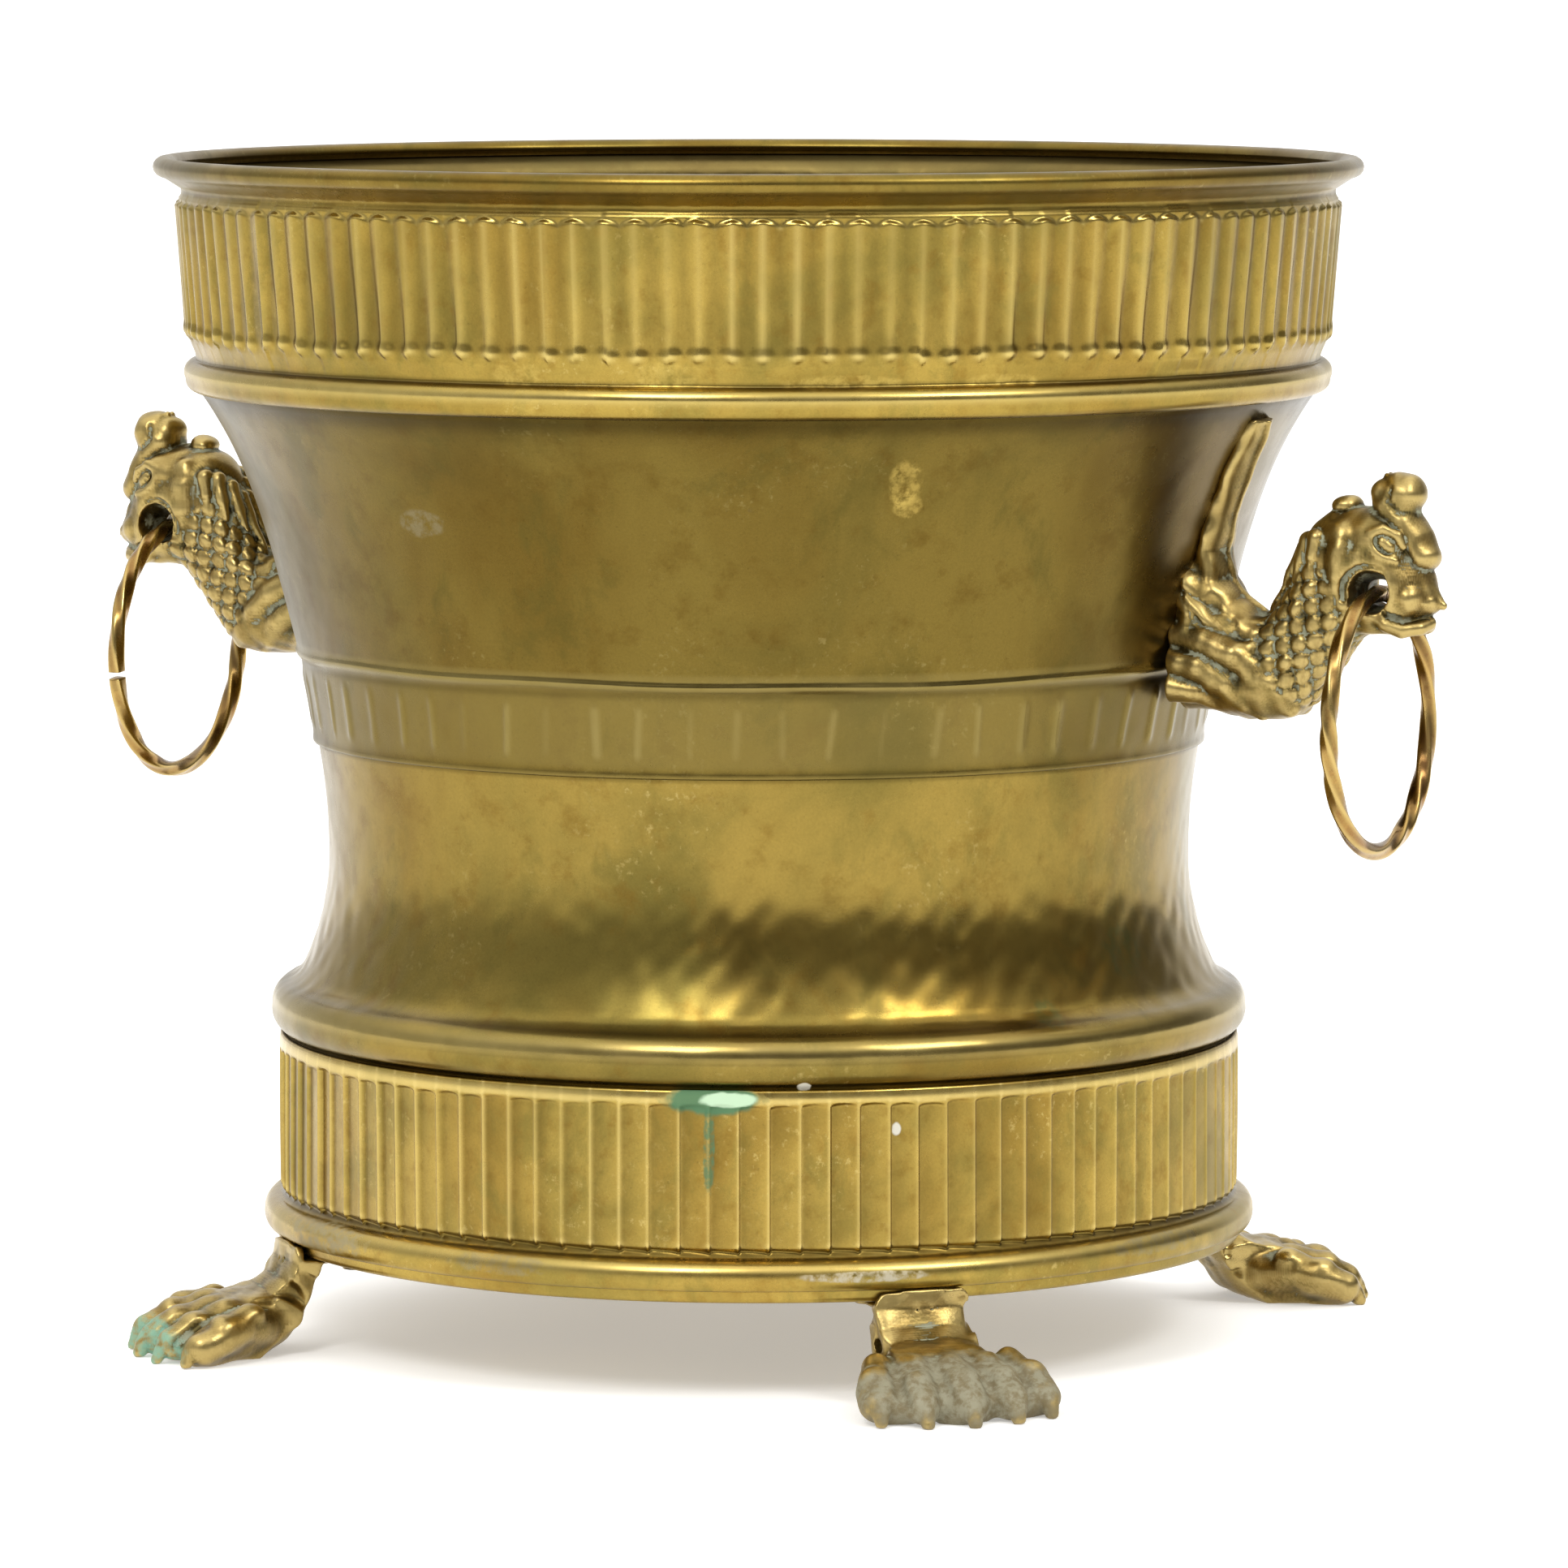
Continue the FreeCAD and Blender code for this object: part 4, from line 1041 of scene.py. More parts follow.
def head_clay(lift):
    """One beast's head, neck, leaf and strap; lift is how much higher than the other it sits."""
    clay = Clay((-57.5, -38.5), (21.5, 18.0, 49.0), 0.5)
    x, y, z = clay.x, clay.y, clay.z
    width = 11.3 - 3.4 * smooth(x, 4.0, 15.0) + 2.2 * smooth(-x - z * 0.7, 40.0, 56.0)
    clay.pillow(rounded(HEAD), width, 9.0)
    scales(clay, -19.0, 17.0)
    # the leaf: three long lobes on each side that curl under, and a keel between them
    clay.chain([(-56, 9.5, -13, 4.2), (-47, 11.2, -14.5, 4.6), (-38.5, 11.0, -18.0, 4.6),
                (-32, 9.5, -23.5, 4.4),
                (-27.5, 6.5, -29.0, 3.8), (-24.5, 4.5, -32, 2.8)], 0.9)
    clay.chain([(-57, 11, -20, 4.4), (-48, 12.0, -21.5, 4.6), (-41, 11.0, -25.5, 4.3),
                (-36.0, 8.5, -30.0, 3.7),
                (-32.5, 5.0, -33.0, 2.8)], 0.5)
    clay.chain([(-57, 11.5, -27, 4.3), (-49.5, 10.8, -28.0, 3.7), (-44.0, 8.0, -30.2, 3.0),
                (-41.0, 5, -32.4, 2.3)], 0.5)
    clay.lump((-38, 0, -25), (16, 8.5, 10.6), 1.0)
    # raised wing round the root of the strap
    clay.chain([(-56, 8.8, 9.0, 1.5), (-53.8, 9.6, 0.0, 2.1), (-50.0, 10.0, -6.8, 2.4),
                (-43.6, 9.8, -11.0, 2.0),
                (-38.0, 9.6, -14.5, 1.3)], 0.9)
    # the strap up the wall with its ridge
    clay.chain([(-35.5, 0, 48.0 - lift, 3.2), (-41.8, 0, 34 - lift * 0.7, 3.6), (-46.8, 0, 21, 3.8),
                (-49.4, 0, 10.5, 4.2), (-48.0, 0, 1.0, 4.6), (-43.0, 0, -5.6, 4.6), (-36.0, 0, -10.4, 4.4)],
               1.6, wide=2.1)
    clay.chain([(-32.2, 0, 47.5 - lift, 0.9), (-38.2, 0, 34 - lift * 0.7, 1.0), (-43.2, 0, 21, 1.0),
                (-45.8, 0, 10, 1.1), (-43.8, 0, 2.0, 1.1), (-39.8, 0, -2.6, 1.0), (-34.5, 0, -6.2, 0.8)], 1.4)
    # tufts of mane along the nape and behind the cheek
    for tuft in ([(-15.0, 9.6, 15, 2.6), (-15.8, 10.3, 10.0, 1.9), (-16.4, 10.6, 5.5, 0.5)],
                 [(-18.2, 7.8, 14, 2.6), (-20.3, 8.6, 8.0, 1.8), (-22.0, 9.0, 3.0, 0.4)],
                 [(-20.5, 4.2, 12, 2.4), (-23.8, 5.0, 5.0, 1.8), (-26.8, 5.6, -0.5, 0.4)],
                 [(-22.5, 1.5, 9, 2.0), (-26.4, 2.0, 1.5, 1.6), (-31.0, 2.6, -5.2, 0.5)]):
        clay.chain(tuft, 0.5)
    # skull, temple, root of the ear and the long cheek flap
    clay.lump((-7.0, 0, 11.5), (13.5, 11.0, 11.5), 1.5)
    clay.lump((1.5, 7.6, 15.2), (5.6, 3.4, 4.8), 1.4)
    clay.lump((-7.8, 9.0, 14.6), (3.4, 3.2, 5.4), 1.4)
    clay.chain([(-7.6, 8.6, 12, 4.4), (-8.2, 8.9, 5.5, 4.2), (-9.0, 9.4, 0.5, 2.4),
                (-9.6, 9.8, -3.0, 1.0)], 0.8)
    clay.chain([(-3.0, 7.6, 9.5, 4.6), (-7.4, 8.4, 2.5, 3.6)], 1.4)
    # jaw, lower lip and the roll of the upper lip
    clay.chain([(-8, 4.0, -7.5, 3.2), (1, 4.5, -8.2, 2.6), (8, 3.5, -8.6, 2.6)], 1.0, wide=1.3)
    clay.chain([(1.0, 8.0, -4.6, 1.7), (4.5, 7.8, -7.8, 2.0), (9.0, 6.4, -9.6, 2.2), (13.0, 3.6, -8.8, 2.1),
                (14.6, 0, -7.8, 2.1)], 0.7)
    clay.chain([(4.0, 9.2, -2.2, 0.9), (6.0, 9.0, -5.4, 0.9), (10.0, 7.6, -6.6, 0.9), (14.5, 4.6, -5.6, 0.8),
                (18.0, 2.0, -5.0, 0.7)], 0.5, cut=True)
    # muzzle, bridge of the nose, nostrils and the pointed tip
    clay.lump((10.4, 5.0, -0.8), (4.3, 4.3, 4.2), 0.8)
    clay.chain([(8.8, 2.6, 10.5, 1.8), (12.6, 2.8, 4.8, 1.7), (14.4, 2.6, 0.4, 1.6)], 0.7)
    clay.chain([(13.8, 0, 2.0, 2.4), (15.6, 0, -0.8, 2.2), (18.6, 0, -2.9, 1.1)], 0.9)
    clay.lump((15.2, 2.9, -1.6), (2.3, 1.7, 1.6), 0.5)
    # eye under its brow, and the bright lower lid
    clay.chain([(4.4, 10.6, 14.7, 2.3), (5.9, 10.2, 13.1, 2.2)], 0.7, cut=True)
    clay.chain([(4.5, 8.7, 14.6, 1.9), (5.8, 8.3, 13.2, 1.8)], 0.3)
    clay.chain([(1.0, 10.0, 17.0, 1.2), (4.6, 9.4, 18.2, 1.3), (8.2, 8.0, 16.4, 1.3),
                (9.6, 7.2, 13.4, 1.0)], 0.6)
    clay.chain([(0.8, 10.4, 15.2, 0.9), (2.4, 10.5, 12.0, 1.1), (5.0, 10.0, 10.2, 1.2),
                (8.2, 8.6, 9.4, 1.0)], 0.6)
    # knob behind the curl, then the forelock that rolls over the snout from its curled end
    clay.lump((-9.6, 0, 23.6), (4.1, 5.0, 3.0), 0.3)
    clay.chain([(13.0, 0, 10.6, 4.3), (10.6, 0, 15.0, 4.8), (7.0, 0, 20.2, 5.0), (3.2, 0, 24.4, 5.0),
                (2.2, 0, 27.6, 4.3), (4.6, 0, 29.6, 3.2)], 0.35, wide=1.4)
    clay.chain([(8.0, 0, 27.4, 5.2)], 2.6, wide=1.3)
    clay.chain([(12.8, 3.0, 12.4, 1.9), (9.9, 3.2, 17.8, 2.0), (6.6, 4.4, 21.8, 1.6)], 0.6)
    clay.chain([(13.6, 0.0, 23.8, 0.9), (12.0, 4.6, 22.8, 0.9), (8.2, 7.0, 22.4, 1.0), (4.8, 7.2, 25.4, 0.8),
                (5.4, 6.2, 29.6, 0.6)], 0.6, cut=True)
    clay.chain([(2.2, 1.2, 32.2, 0.9), (3.4, 1.0, 30.6, 1.6)], 0.8)
    # the hole for the ring with its carved surround
    angle = np.radians(np.linspace(15, 195, 10))
    clay.chain([(0.8 + 7.2 * c, 11.6, 0.9 + 7.0 * s, 0.9) for c, s in zip(np.cos(angle), np.sin(angle))],
               0.5, cut=True)
    clay.keep(3.6 + 0.22 * y - np.hypot(x - 0.2 - 0.09 * y, z - 0.2 - 0.07 * y))
    clay.chain([(2.0, 12.0, -1.5, 2.6), (4.0, 11.5, -5.0, 1.6)], 1.0, cut=True)
    # room in the cheek for the ring at its inner stop
    ring_low, ring_high = node_box("ring_right")
    bar = (ring_high[0] - ring_low[0]) / 2
    mean = (ring_high[2] - ring_low[2]) / 2 - bar
    drop = RING_LINE - (ring_high[2] + ring_low[2]) / 2
    down = -x * math.sin(INNER_STOP) - z * math.cos(INNER_STOP)
    off_plane = x * math.cos(INNER_STOP) - z * math.sin(INNER_STOP)
    from_ring = np.hypot(np.hypot(down - drop, y) - mean, off_plane)
    clay.keep(bar + RING_ROOM - from_ring)
    # end of the strap, and the wall behind
    clay.keep(z - 46.7 + lift)
    height = z + RING_LINE + lift
    wall = np.interp(height, WALL[:, 0], WALL[:, 1]) - 0.5
    clay.keep((wall - np.hypot(x + PIVOT_OUT, y)) * 0.93)
    return clay


def head(side):
    """A head in its place: turned round the pot's axis to its side, at its own height."""
    lift = LEFT_LIFT if side == "left" else 0.0
    sign = -1.0 if side == "left" else 1.0

    def placed(local):
        return np.stack([sign * (local[:, 0] + PIVOT_OUT), sign * local[:, 1],
                         local[:, 2] + RING_LINE + lift], axis=1)

    return cast_piece(f"beast_head_{side}", head_clay(lift), 0.14, 51 if side == "left" else 50, placed,
                      f"handle_{side}")


heads = {side: head(side) for side in ("right", "left")}

# %% [markdown]
# ## The paw feet
# Each foot is a flat strap that comes down from under the bead, bends outwards and spreads into a
# lion's paw with five blunt toes.  A tab runs inwards under the bottom plate for the screw.

# %% Paws
LEG = [(104.1, 27.45), (104.1, 24.5), (131.6, 24.5), (132.4, 21.8), (135.3, 14.2), (138.2, 9.0), (142.6, 4.6),
       (147.0, 1.2), (152.0, -1.5), (164.0, -1.5), (164.0, 12.0), (158.0, 16.5), (152.5, 17.6), (147.0, 18.4),
       (142.8, 21.4), (140.6, 26.0), (140.3, 30.9), (137.25, 30.9), (137.25, 27.45)]
MIDDLE_TIP = 183.6
TOE_TIPS = [(0.0, MIDDLE_TIP), (12.6, 182.0), (23.6, 176.6)]


def paw_clay():
    """One foot: its strap, ankle, knuckles and toes, on one side of the middle toe and mirrored."""
    clay = Clay((103.0, -1.0), (187.0, 29.0, 33.0), 0.5)
    x, y, z = clay.x, clay.y, clay.z
    clay.pillow(np.array(LEG), 13.4, 1.6)
    clay.keep(y - 13.5 + 0.12 * np.maximum(z - 26.0, 0.0) ** 2 * smooth(x, 136.0, 138.0))
    clay.chain([(147, 6.5, 8.5, 6.4), (158, 12.0, 6.6, 7.2), (168, 17.0, 4.8, 6.6)], 3.0)
    clay.chain([(146, 0, 9, 6.0), (158, 0, 7.4, 7.4), (171, 0, 5.2, 7.0)], 3.0, wide=1.5)
    for t, tip in TOE_TIPS:
        back = tip - MIDDLE_TIP
        clay.chain([(152 + back * 0.3, t * 0.55, 9.0, 4.6), (163 + back * 0.7, t * 0.82, 9.8, 5.3),
                    (171 + back, t * 0.95, 7.8, 5.2), (176.8 + back, t, 5.2, 4.7)], 2.8)
        clay.lump((160.5 + back * 0.8, t * 0.80, 13.2), (4.0, 3.9, 3.4), 1.3)
        clay.lump((170.5 + back, t * 0.94, 11.2), (3.7, 4.0, 3.0), 1.3)
        clay.lump((179.2 + back, t * 1.01, 4.6), (2.9, 2.7, 3.0), 0.7)
        clay.chain([(180.4 + back, t * 1.01, 3.4, 2.5), (181.6 + back, t * 1.02, 1.4, 1.9)], 0.5)
    for t, tip in ((6.3, 0.0), (18.1, -3.6)):
        clay.chain([(164 + tip, t * 0.88, 15.6, 1.0), (171 + tip, t * 0.97, 12.4, 1.4),
                    (177 + tip, t, 8.8, 1.6),
                    (181.6 + tip, t, 5.2, 1.4)], 1.6, cut=True)
    clay.chain([(137.5, 2.0, 26.0, 0.4), (150.5, 2.0, 24.0, 0.4)], 0.3, cut=True)
    clay.keep(2.7 - np.hypot(x - 118.0, y))
    clay.keep(0.05 - z)
    return clay


def paw(corner, azimuth, clay, seed):
    """A paw in its place: the same clay, turned round the pot's axis to its corner."""
    turn = math.radians(azimuth)

    def placed(local):
        x, y, z = local.T
        return np.stack([x * math.cos(turn) - y * math.sin(turn),
                         x * math.sin(turn) + y * math.cos(turn), z], axis=1)

    return cast_piece(f"paw_{corner}", clay, 0.16, seed, placed, f"foot_{corner}")


paw_form = paw_clay()
PAW_TURNS = {"front_right": -45.0, "back_right": 45.0, "back_left": 135.0, "front_left": -135.0}
paws = {corner: paw(corner, azimuth, paw_form, 60 + i)
        for i, (corner, azimuth) in enumerate(PAW_TURNS.items())}

# %% [markdown]
# ## Tarnish
# Old brass is a bright yellow metal under a skin of olive and brown tarnish, thin where hands and
# cloths rub and thick in the hollows.  One node group makes that skin from two scales of noise and
# the hollow attribute, and each material gives it its own colours.  The hollow attribute also carries
# painted shade in grooves, creases and under edges, and the worn attribute carries painted highlights
# where light catches edges.

# %% Tarnish group
def tarnish_group():
    """Colour, roughness and height of tarnish: tones mixed by steps of noise, then by wear and painted
    highlight, and by tarnish and painted shade in hollows.
    """
    tree, g, given, out = shader_group(
        "tarnish",
        {"Vector": "", "Bright": (0.5, 0.4, 0.15, 1.0), "Olive": (0.3, 0.27, 0.1, 1.0),
         "Brown": (0.3, 0.2, 0.07, 1.0), "Deep": (0.1, 0.07, 0.02, 1.0), "Patch size": 14.0,
         "Worn and highlight color": (0.5, 0.4, 0.15, 1.0), "Hollow and shade": 0.0, "Worn and highlight": 0.0, "Depth": 0.6, "Grime": 0.5},
        {"Color": tuple, "Roughness": float, "Height": float})
    broad = g.noise(given["Vector"], given["Patch size"], 5.0, 0.6, 0.4)
    fine_size = g.math("MULTIPLY", given["Patch size"], 6.5)
    fine = g.noise(given["Vector"], fine_size, 6.0, 0.65)
    moved = g.stretch(given["Vector"], (1.0, 1.0, 0.45), (3.1, 1.7, 0.4))
    cloudy = g.noise(moved, given["Patch size"], 4.0, 0.6)
    speck = g.noise(given["Vector"], 900.0, 3.0, 0.7)
    olive = g.math("MULTIPLY", g.step(broad, 0.40, 0.66), g.math("ADD", given["Grime"], 0.15))
    tone = g.mix(olive, given["Bright"], given["Olive"])
    brown = g.math("MULTIPLY", g.step(cloudy, 0.44, 0.64), given["Grime"])
    tone = g.mix(brown, tone, given["Brown"])
    blotch_size = g.math("MULTIPLY", given["Patch size"], 2.6)
    blotch = g.noise(g.stretch(given["Vector"], (1.0, 1.0, 0.6), (7.7, 2.3, 5.1)), blotch_size, 5.0, 0.7, 0.3)
    tone = g.mix(g.math("MULTIPLY", g.step(blotch, 0.50, 0.66), 0.55), tone, given["Olive"])
    tone = g.mix(g.math("MULTIPLY", g.step(fine, 0.50, 0.72), 0.6), tone, given["Brown"])
    pits = g.math("MULTIPLY", g.step(speck, 0.60, 0.80), 0.35)
    tone = g.mix(pits, tone, given["Deep"])
    fleck = g.noise(given["Vector"], 420.0, 4.0, 0.7)
    zone = g.noise(g.stretch(given["Vector"], (1.0, 1.0, 1.0), (9.1, 4.4, 2.2)), 24.0, 3.0)
    flecked = g.math("MULTIPLY", g.step(fleck, 0.56, 0.70), g.step(zone, 0.50, 0.66))
    tone = g.mix(g.math("MULTIPLY", flecked, 0.6), tone, given["Worn and highlight color"])
    grain = g.noise(given["Vector"], 1500.0, 2.0, 0.6)
    tone = g.mix(0.30, tone, g.mix(grain, (0.25, 0.25, 0.25, 1.0), (0.75, 0.75, 0.75, 1.0)), "OVERLAY")
    ragged = g.math("ADD", g.math("MULTIPLY", fine, 0.9), 0.45)
    # wear and painted highlight: the worn colour laid on rubbed edges and on painted highlights
    rubbed_and_highlit = g.math("MULTIPLY", given["Worn and highlight"], ragged, clamp=True)
    tone = g.mix(rubbed_and_highlit, tone, given["Worn and highlight color"])
    # tarnish and painted shade: the deep colour laid into hollows, creases and places in shade
    sunk = g.math("MULTIPLY", given["Hollow and shade"], given["Depth"], clamp=True)
    tone = g.mix(sunk, tone, given["Deep"])
    rough = g.math("ADD", g.math("MULTIPLY", fine, 0.16), g.math("MULTIPLY", broad, 0.14))
    rough = g.math("ADD", rough, g.math("MULTIPLY", olive, 0.10))
    rough = g.math("SUBTRACT", rough, g.math("MULTIPLY", rubbed_and_highlit, 0.06))
    g.tree.links.new(tone, out["Color"])
    g.tree.links.new(rough, out["Roughness"])
    height = g.math("ADD", g.math("MULTIPLY", fine, 0.6), g.math("MULTIPLY", speck, 0.25))
    g.tree.links.new(height, out["Height"])
    return tree


def spot_group():
    """Mask of one stain: 1 inside an ellipsoid set by a place, a turn and a size, with ragged edges."""
    tree, g, given, out = shader_group(
        "spot", {"Vector": "", "Location": "", "Rotation": "", "Size": "", "Ragged": 0.3}, {"Mask": float})
    local = g.add("ShaderNodeMapping", {"Vector": given["Vector"], "Location": given["Location"],
                                        "Rotation": given["Rotation"], "Scale": given["Size"]},
                  vector_type="TEXTURE").outputs[0]
    ragged = g.add("ShaderNodeTexNoise", {"Vector": given["Vector"], "Scale": 260.0, "Detail": 4.0})
    centred = g.add("ShaderNodeVectorMath", {0: ragged.outputs[1], 1: (0.5, 0.5, 0.5)}, operation="SUBTRACT")
    pushed = g.add("ShaderNodeVectorMath", {0: centred.outputs[0], "Scale": given["Ragged"]},
                   operation="SCALE")
    moved = g.add("ShaderNodeVectorMath", {0: local, 1: pushed.outputs[0]}, operation="ADD")
    far = g.add("ShaderNodeVectorMath", {0: moved.outputs[0]}, operation="LENGTH").outputs["Value"]
    inside = g.math("SUBTRACT", 1.0, g.step(far, 0.75, 1.05))
    g.tree.links.new(inside, out["Mask"])
    return tree


TARNISH = tarnish_group()
SPOT = spot_group()


def spot(g, where, angle, radius, height, size, ragged=0.6):
    """A stain at an angle, radius and height on the pot; size is its reach (in and out, round, up)."""
    turn = math.radians(angle)
    group = g.add("ShaderNodeGroup", node_tree=SPOT)
    g.tree.links.new(where, group.inputs["Vector"])
    group.inputs["Location"].default_value = (radius * MM * math.cos(turn), radius * MM * math.sin(turn),
                                              height * MM)
    group.inputs["Rotation"].default_value = (0.0, 0.0, turn)
    group.inputs["Size"].default_value = tuple(s * MM for s in size)
    group.inputs["Ragged"].default_value = ragged
    return group.outputs[0]


EYE_ANGLE = math.degrees(EYE_AZIMUTH) - 90.0
FULL_COVER, FAINT = 0.9, 0.5


def brass(name, tones, patch, depth, grime, rough, bump=0.05, spots=(), inside=None, patina=None):
    """A tarnished brass: four tones, the size of its patches, and stains laid over it.

    A stain is (angle from the pot's front, radius, height, size, colour, strength).  One weaker than
    FULL_COVER is broken up by noise, and one no stronger than FAINT leaves the metal's shine.  patina is
    the colour of the crust that fills the hollows.
    """
    material = bpy.data.materials.new(name)
    material.use_nodes = True
    g = Graph(material.node_tree)
    where = g.add("ShaderNodeTexCoord").outputs["Object"]
    # the hollow attribute brings tarnish and painted shade, the worn attribute wear and painted highlight
    hollow_and_shade = g.add("ShaderNodeAttribute", attribute_name="hollow_and_shade").outputs["Fac"]
    skin = g.add("ShaderNodeGroup", {}, node_tree=TARNISH)
    wear_and_highlight = g.add("ShaderNodeAttribute", attribute_name="wear_and_highlight").outputs["Fac"]
    for label, value in zip(("Bright", "Olive", "Brown", "Deep", "Worn and highlight color"), tones):
        skin.inputs[label].default_value = (*value, 1.0)
    g.tree.links.new(where, skin.inputs["Vector"])
    g.tree.links.new(hollow_and_shade, skin.inputs["Hollow and shade"])
    g.tree.links.new(wear_and_highlight, skin.inputs["Worn and highlight"])
    skin.inputs["Patch size"].default_value = patch
    skin.inputs["Depth"].default_value = depth
    skin.inputs["Grime"].default_value = grime
    tone, metal = skin.outputs["Color"], None
    roughness = g.math("ADD", skin.outputs["Roughness"], rough)
    if inside:
        within = g.add("ShaderNodeAttribute", attribute_name="inside").outputs["Fac"]
        tone = g.mix(within, tone, g.mix(0.75, tone, (*inside, 1.0)))
        roughness = g.math("ADD", roughness, g.math("MULTIPLY", within, 0.15))
    covered = None
    broken = g.noise(where, 330.0, 5.0, 0.65)
    if patina:
        crust = g.math("MULTIPLY", g.step(hollow_and_shade, 0.45, 0.95), g.step(g.noise(where, 170.0), 0.36, 0.56))
        covered = g.math("MULTIPLY", crust, 0.85)
        tone = g.mix(covered, tone, (*patina, 1.0))
    for angle, radius, height, size, colour, strength in spots:
        mask = g.math("MULTIPLY", spot(g, where, EYE_ANGLE + angle, radius, height, size), strength)
        if strength < FULL_COVER:
            mask = g.math("MULTIPLY", mask, g.step(broken, 0.36, 0.62))
        tone = g.mix(mask, tone, (*colour, 1.0))
        if strength > FAINT:
            covered = mask if covered is None else g.math("MAXIMUM", covered, mask)
    if covered is not None:
        roughness = g.math("ADD", roughness, g.math("MULTIPLY", covered, 0.4))
        metal = g.math("SUBTRACT", 1.0, covered)
    height = g.add("ShaderNodeBump", {"Height": skin.outputs["Height"], "Strength": bump, "Distance": 0.0006})
    shader = g.add("ShaderNodeBsdfPrincipled", {"Base Color": tone, "Roughness": roughness,
                                                "Normal": height.outputs[0]})
    if metal is None:
        shader.inputs["Metallic"].default_value = 1.0
    else:
        g.tree.links.new(metal, shader.inputs["Metallic"])
    g.add("ShaderNodeOutputMaterial", {"Surface": shader.outputs[0]})
    return material


def dress(piece, material):
    """Give a piece one material."""
    piece.data.materials.clear()
    piece.data.materials.append(material)


# %% [markdown]
# ## Sheet brass
# All four sheets are one alloy, rubbed and wetted differently, so each has its own roughness and stains.
# Each takes the same tones, made darker by its own share: painted shade for the light each sheet gets,
# darkest on the flare that faces down.

# %% Sheet brass
OLD_BRASS = ((0.44, 0.305, 0.085), (0.235, 0.185, 0.053), (0.28, 0.165, 0.036), (0.055, 0.034, 0.01),
             (0.64, 0.49, 0.21))
RING_BRASS = ((0.40, 0.25, 0.075), (0.25, 0.17, 0.06), (0.22, 0.10, 0.035), (0.07, 0.035, 0.015),
              (0.50, 0.36, 0.13))
CAST_BRASS = ((0.36, 0.255, 0.09), (0.21, 0.165, 0.06), (0.24, 0.15, 0.05), (0.06, 0.048, 0.02),
              (0.55, 0.41, 0.17))
GREEN, MINT = (0.055, 0.16, 0.07), (0.45, 0.62, 0.42)
DARK_SPOT, LIME = (0.05, 0.045, 0.03), (0.62, 0.60, 0.52)
DARK_INSIDE, YELLOW, GREY_LIME = (0.15, 0.115, 0.045), (0.50, 0.36, 0.09), (0.25, 0.23, 0.15)
TURQUOISE, CRUST, MILKY = (0.16, 0.42, 0.33), (0.30, 0.31, 0.21), (0.24, 0.22, 0.15)
MUD, PALE_LIME = (0.15, 0.12, 0.06), (0.31, 0.30, 0.21)


def toned(tones, share, blue=1.0):
    """The same tones, darker by a share and with less or more blue."""
    return tuple((r * share, g * share, b * share * blue) for r, g, b in tones)


# painted shade: the flare's tones are darkened most, as it faces down and reflects the floor
flare_brass_shaded = brass("flare_brass_shaded", toned(OLD_BRASS, 0.33, 0.75), 13.0, 0.6, 0.62, 0.13, spots=[
    (-0.8, 139.5, 243.0, (4.0, 3.4, 3.4), DARK_SPOT, 0.75),
    (15.5, 146.0, 250.0, (6.0, 5.0, 9.0), YELLOW, 0.4),
    (16.0, 144.0, 243.0, (6.0, 4.0, 4.0), YELLOW, 0.4),
    (-40.0, 143.0, 236.0, (20.0, 9.0, 4.0), MILKY, 0.3),
], inside=DARK_INSIDE)
waist_brass = brass("waist_brass", toned(OLD_BRASS, 0.58, 0.8), 13.0, 0.6, 0.62, 0.09, spots=[
    (53.5, 126.0, 116.0, (8.0, 10.0, 8.0), GREEN, 0.3),
    (37.0, 132.0, 102.0, (8.0, 5.0, 5.0), GREEN, 0.3),
    (5.2, 134.4, 86.2, (3.0, 2.0, 1.4), LIME, 0.9),
], inside=DARK_INSIDE)
band_brass = brass("band_brass", toned(OLD_BRASS, 0.78, 0.75), 22.0, 0.6, 0.5, 0.14, spots=[
    (-23.9, 159.0, 278.5, (6.0, 8.0, 4.0), YELLOW, 0.45),
    (-8.9, 159.0, 278.5, (6.0, 10.0, 4.0), YELLOW, 0.45),
    (-22.5, 160.5, 272.0, (5.0, 4.0, 4.0), YELLOW, 0.4),
    (8.0, 159.0, 276.5, (6.0, 18.0, 2.2), YELLOW, 0.45),
    (24.0, 159.0, 276.5, (6.0, 12.0, 2.2), YELLOW, 0.4),
], inside=DARK_INSIDE)
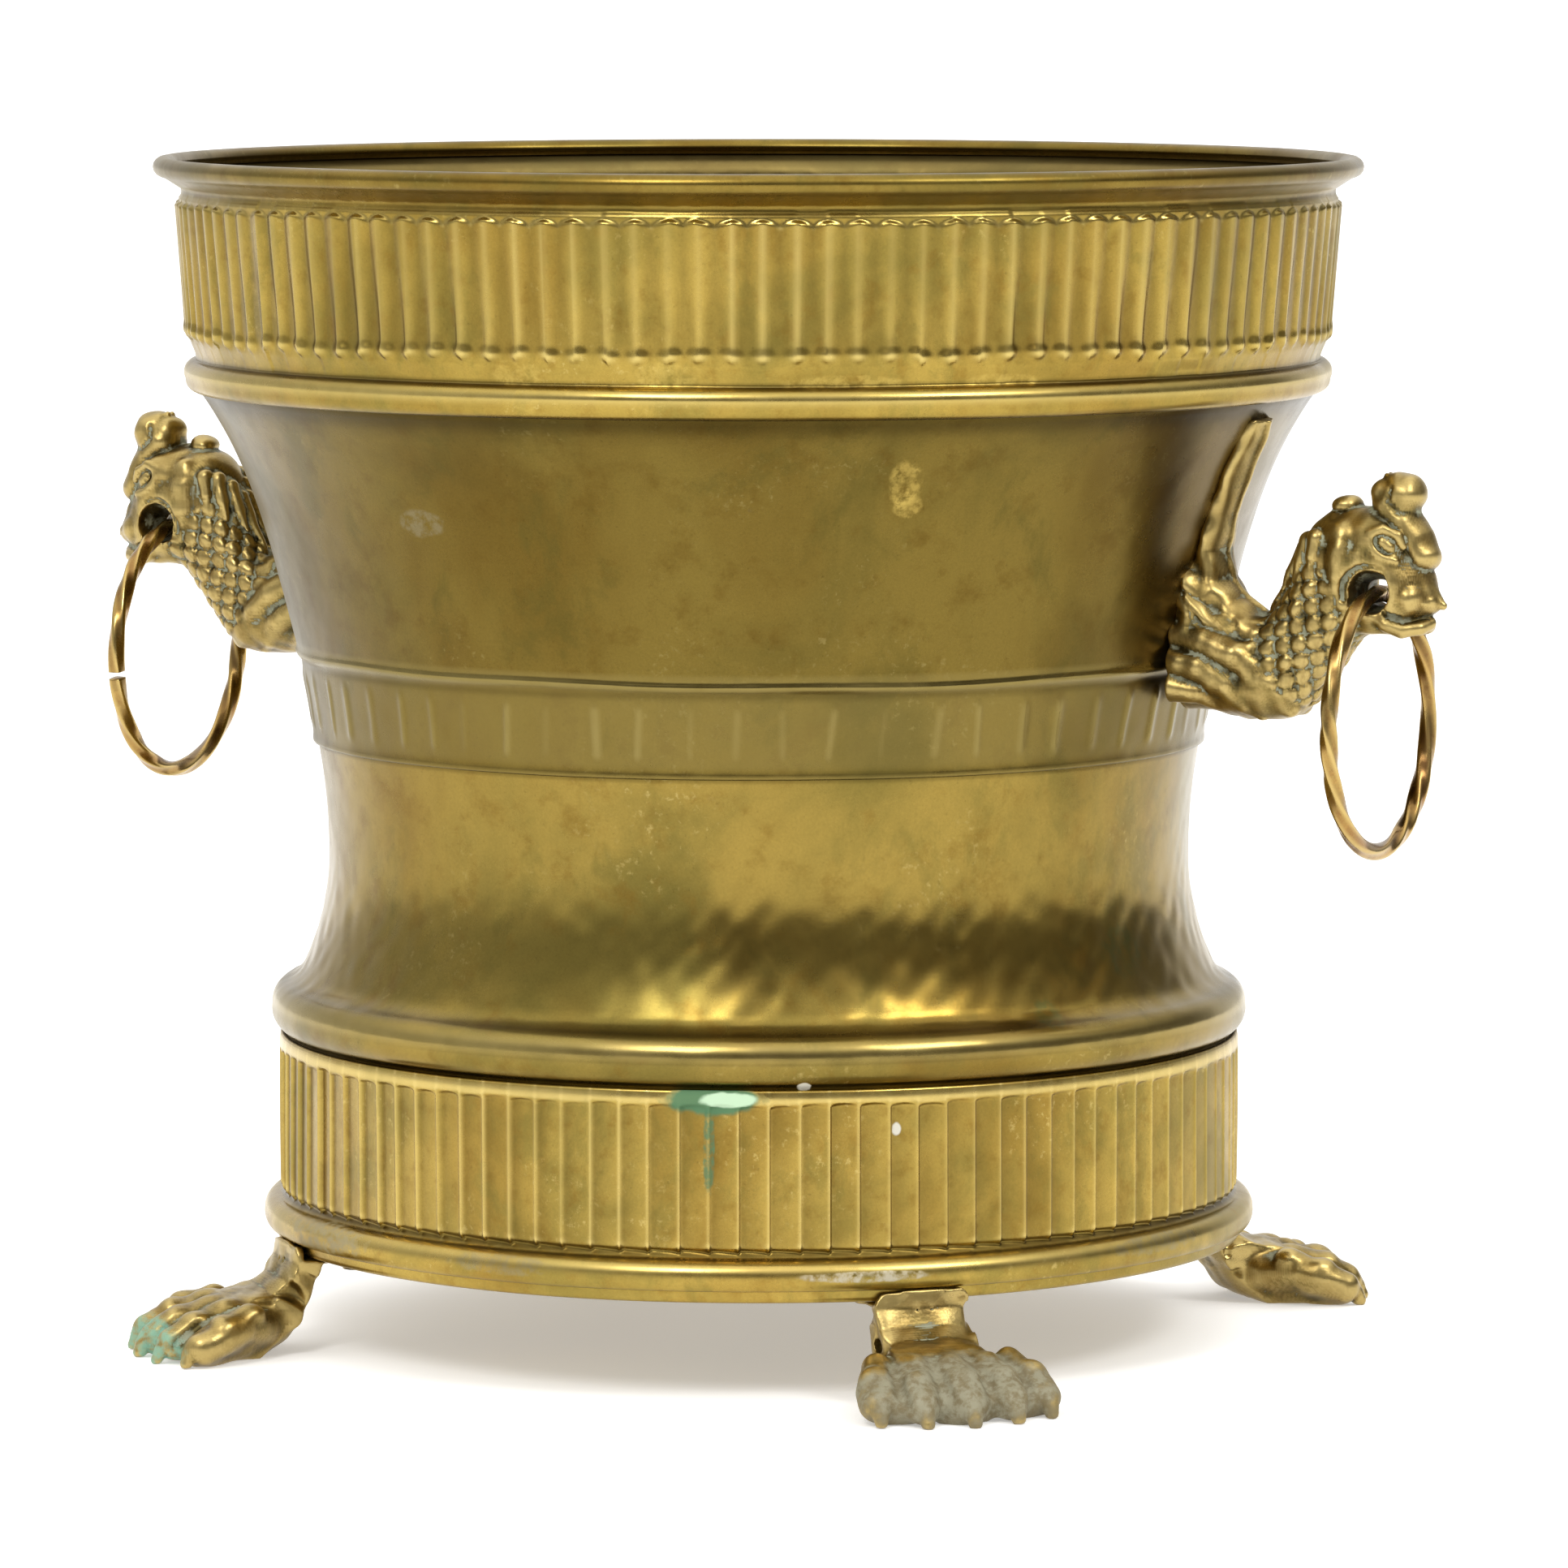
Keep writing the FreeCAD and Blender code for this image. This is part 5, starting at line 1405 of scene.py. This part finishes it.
base_brass = brass("base_brass", toned(OLD_BRASS, 0.92, 0.8), 24.0, 0.5, 0.5, 0.14, spots=[
    (-5.2, 135.6, 82.5, (6.0, 14.0, 4.6), GREEN, 0.95),
    (-5.7, 135.6, 70.0, (6.0, 1.7, 14.0), GREEN, 0.8),
    (-3.4, 135.8, 82.6, (6.0, 8.5, 2.2), MINT, 1.0),
    (16.0, 135.8, 74.0, (3.0, 1.5, 2.0), LIME, 0.9),
    (12.0, 140.0, 35.0, (5.0, 20.0, 1.6), LIME, 0.55),
    (-60.0, 139.5, 36.0, (6.0, 26.0, 5.0), GREY_LIME, 0.6),
    (-30.0, 140.0, 36.0, (5.0, 18.0, 3.0), GREY_LIME, 0.4),
    (52.0, 140.0, 36.5, (5.0, 24.0, 3.0), GREY_LIME, 0.45),
], inside=DARK_INSIDE)
for shell, metal in ((upper_shell, band_brass), (upper_waist_shell, flare_brass_shaded),
                     (lower_waist_shell, waist_brass), (lower_shell, base_brass), (tray, base_brass)):
    dress(shell, metal)

# %% [markdown]
# ## Castings, rings and fasteners
# Cast brass is duller and rougher than sheet, with crust in its hollows.  Two of the paws have limed
# or green toes from standing in water.  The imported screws, washers and nuts get a plain finish.

# %% Cast brass, rings and small parts
ring_metal = brass("ring_metal", RING_BRASS, 45.0, 0.75, 0.6, 0.1)
DULL_CAST = toned(CAST_BRASS, 0.8, 0.9)
head_metal = brass("head_metal", DULL_CAST, 60.0, 0.95, 0.55, 0.22, 0.25, patina=CRUST)
small_metal = brass("small_metal", DULL_CAST, 60.0, 0.9, 0.5, 0.15)
limed_paw = brass("limed_paw", DULL_CAST, 60.0, 0.9, 0.5, 0.2, 0.35, patina=CRUST, spots=[
    (18.5, 166.0, 6.0, (23.0, 36.0, 12.0), MUD, 0.92),
    (18.5, 168.0, 8.0, (20.0, 32.0, 10.0), PALE_LIME, 0.65),
])
green_paw = brass("green_paw", DULL_CAST, 60.0, 0.9, 0.5, 0.2, 0.25, patina=CRUST, spots=[
    (-71.5, 181.0, 4.0, (10.0, 34.0, 9.0), TURQUOISE, 0.7),
])
plain_paw = brass("plain_paw", DULL_CAST, 60.0, 0.9, 0.5, 0.2, 0.25, patina=CRUST)
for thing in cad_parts.values():
    dress(thing, small_metal)
for thing in (ring_right, ring_left):
    dress(thing, ring_metal)
for thing in heads.values():
    dress(thing, head_metal)
for corner, thing in paws.items():
    dress(thing, {"front_right": limed_paw, "front_left": green_paw}.get(corner, plain_paw))
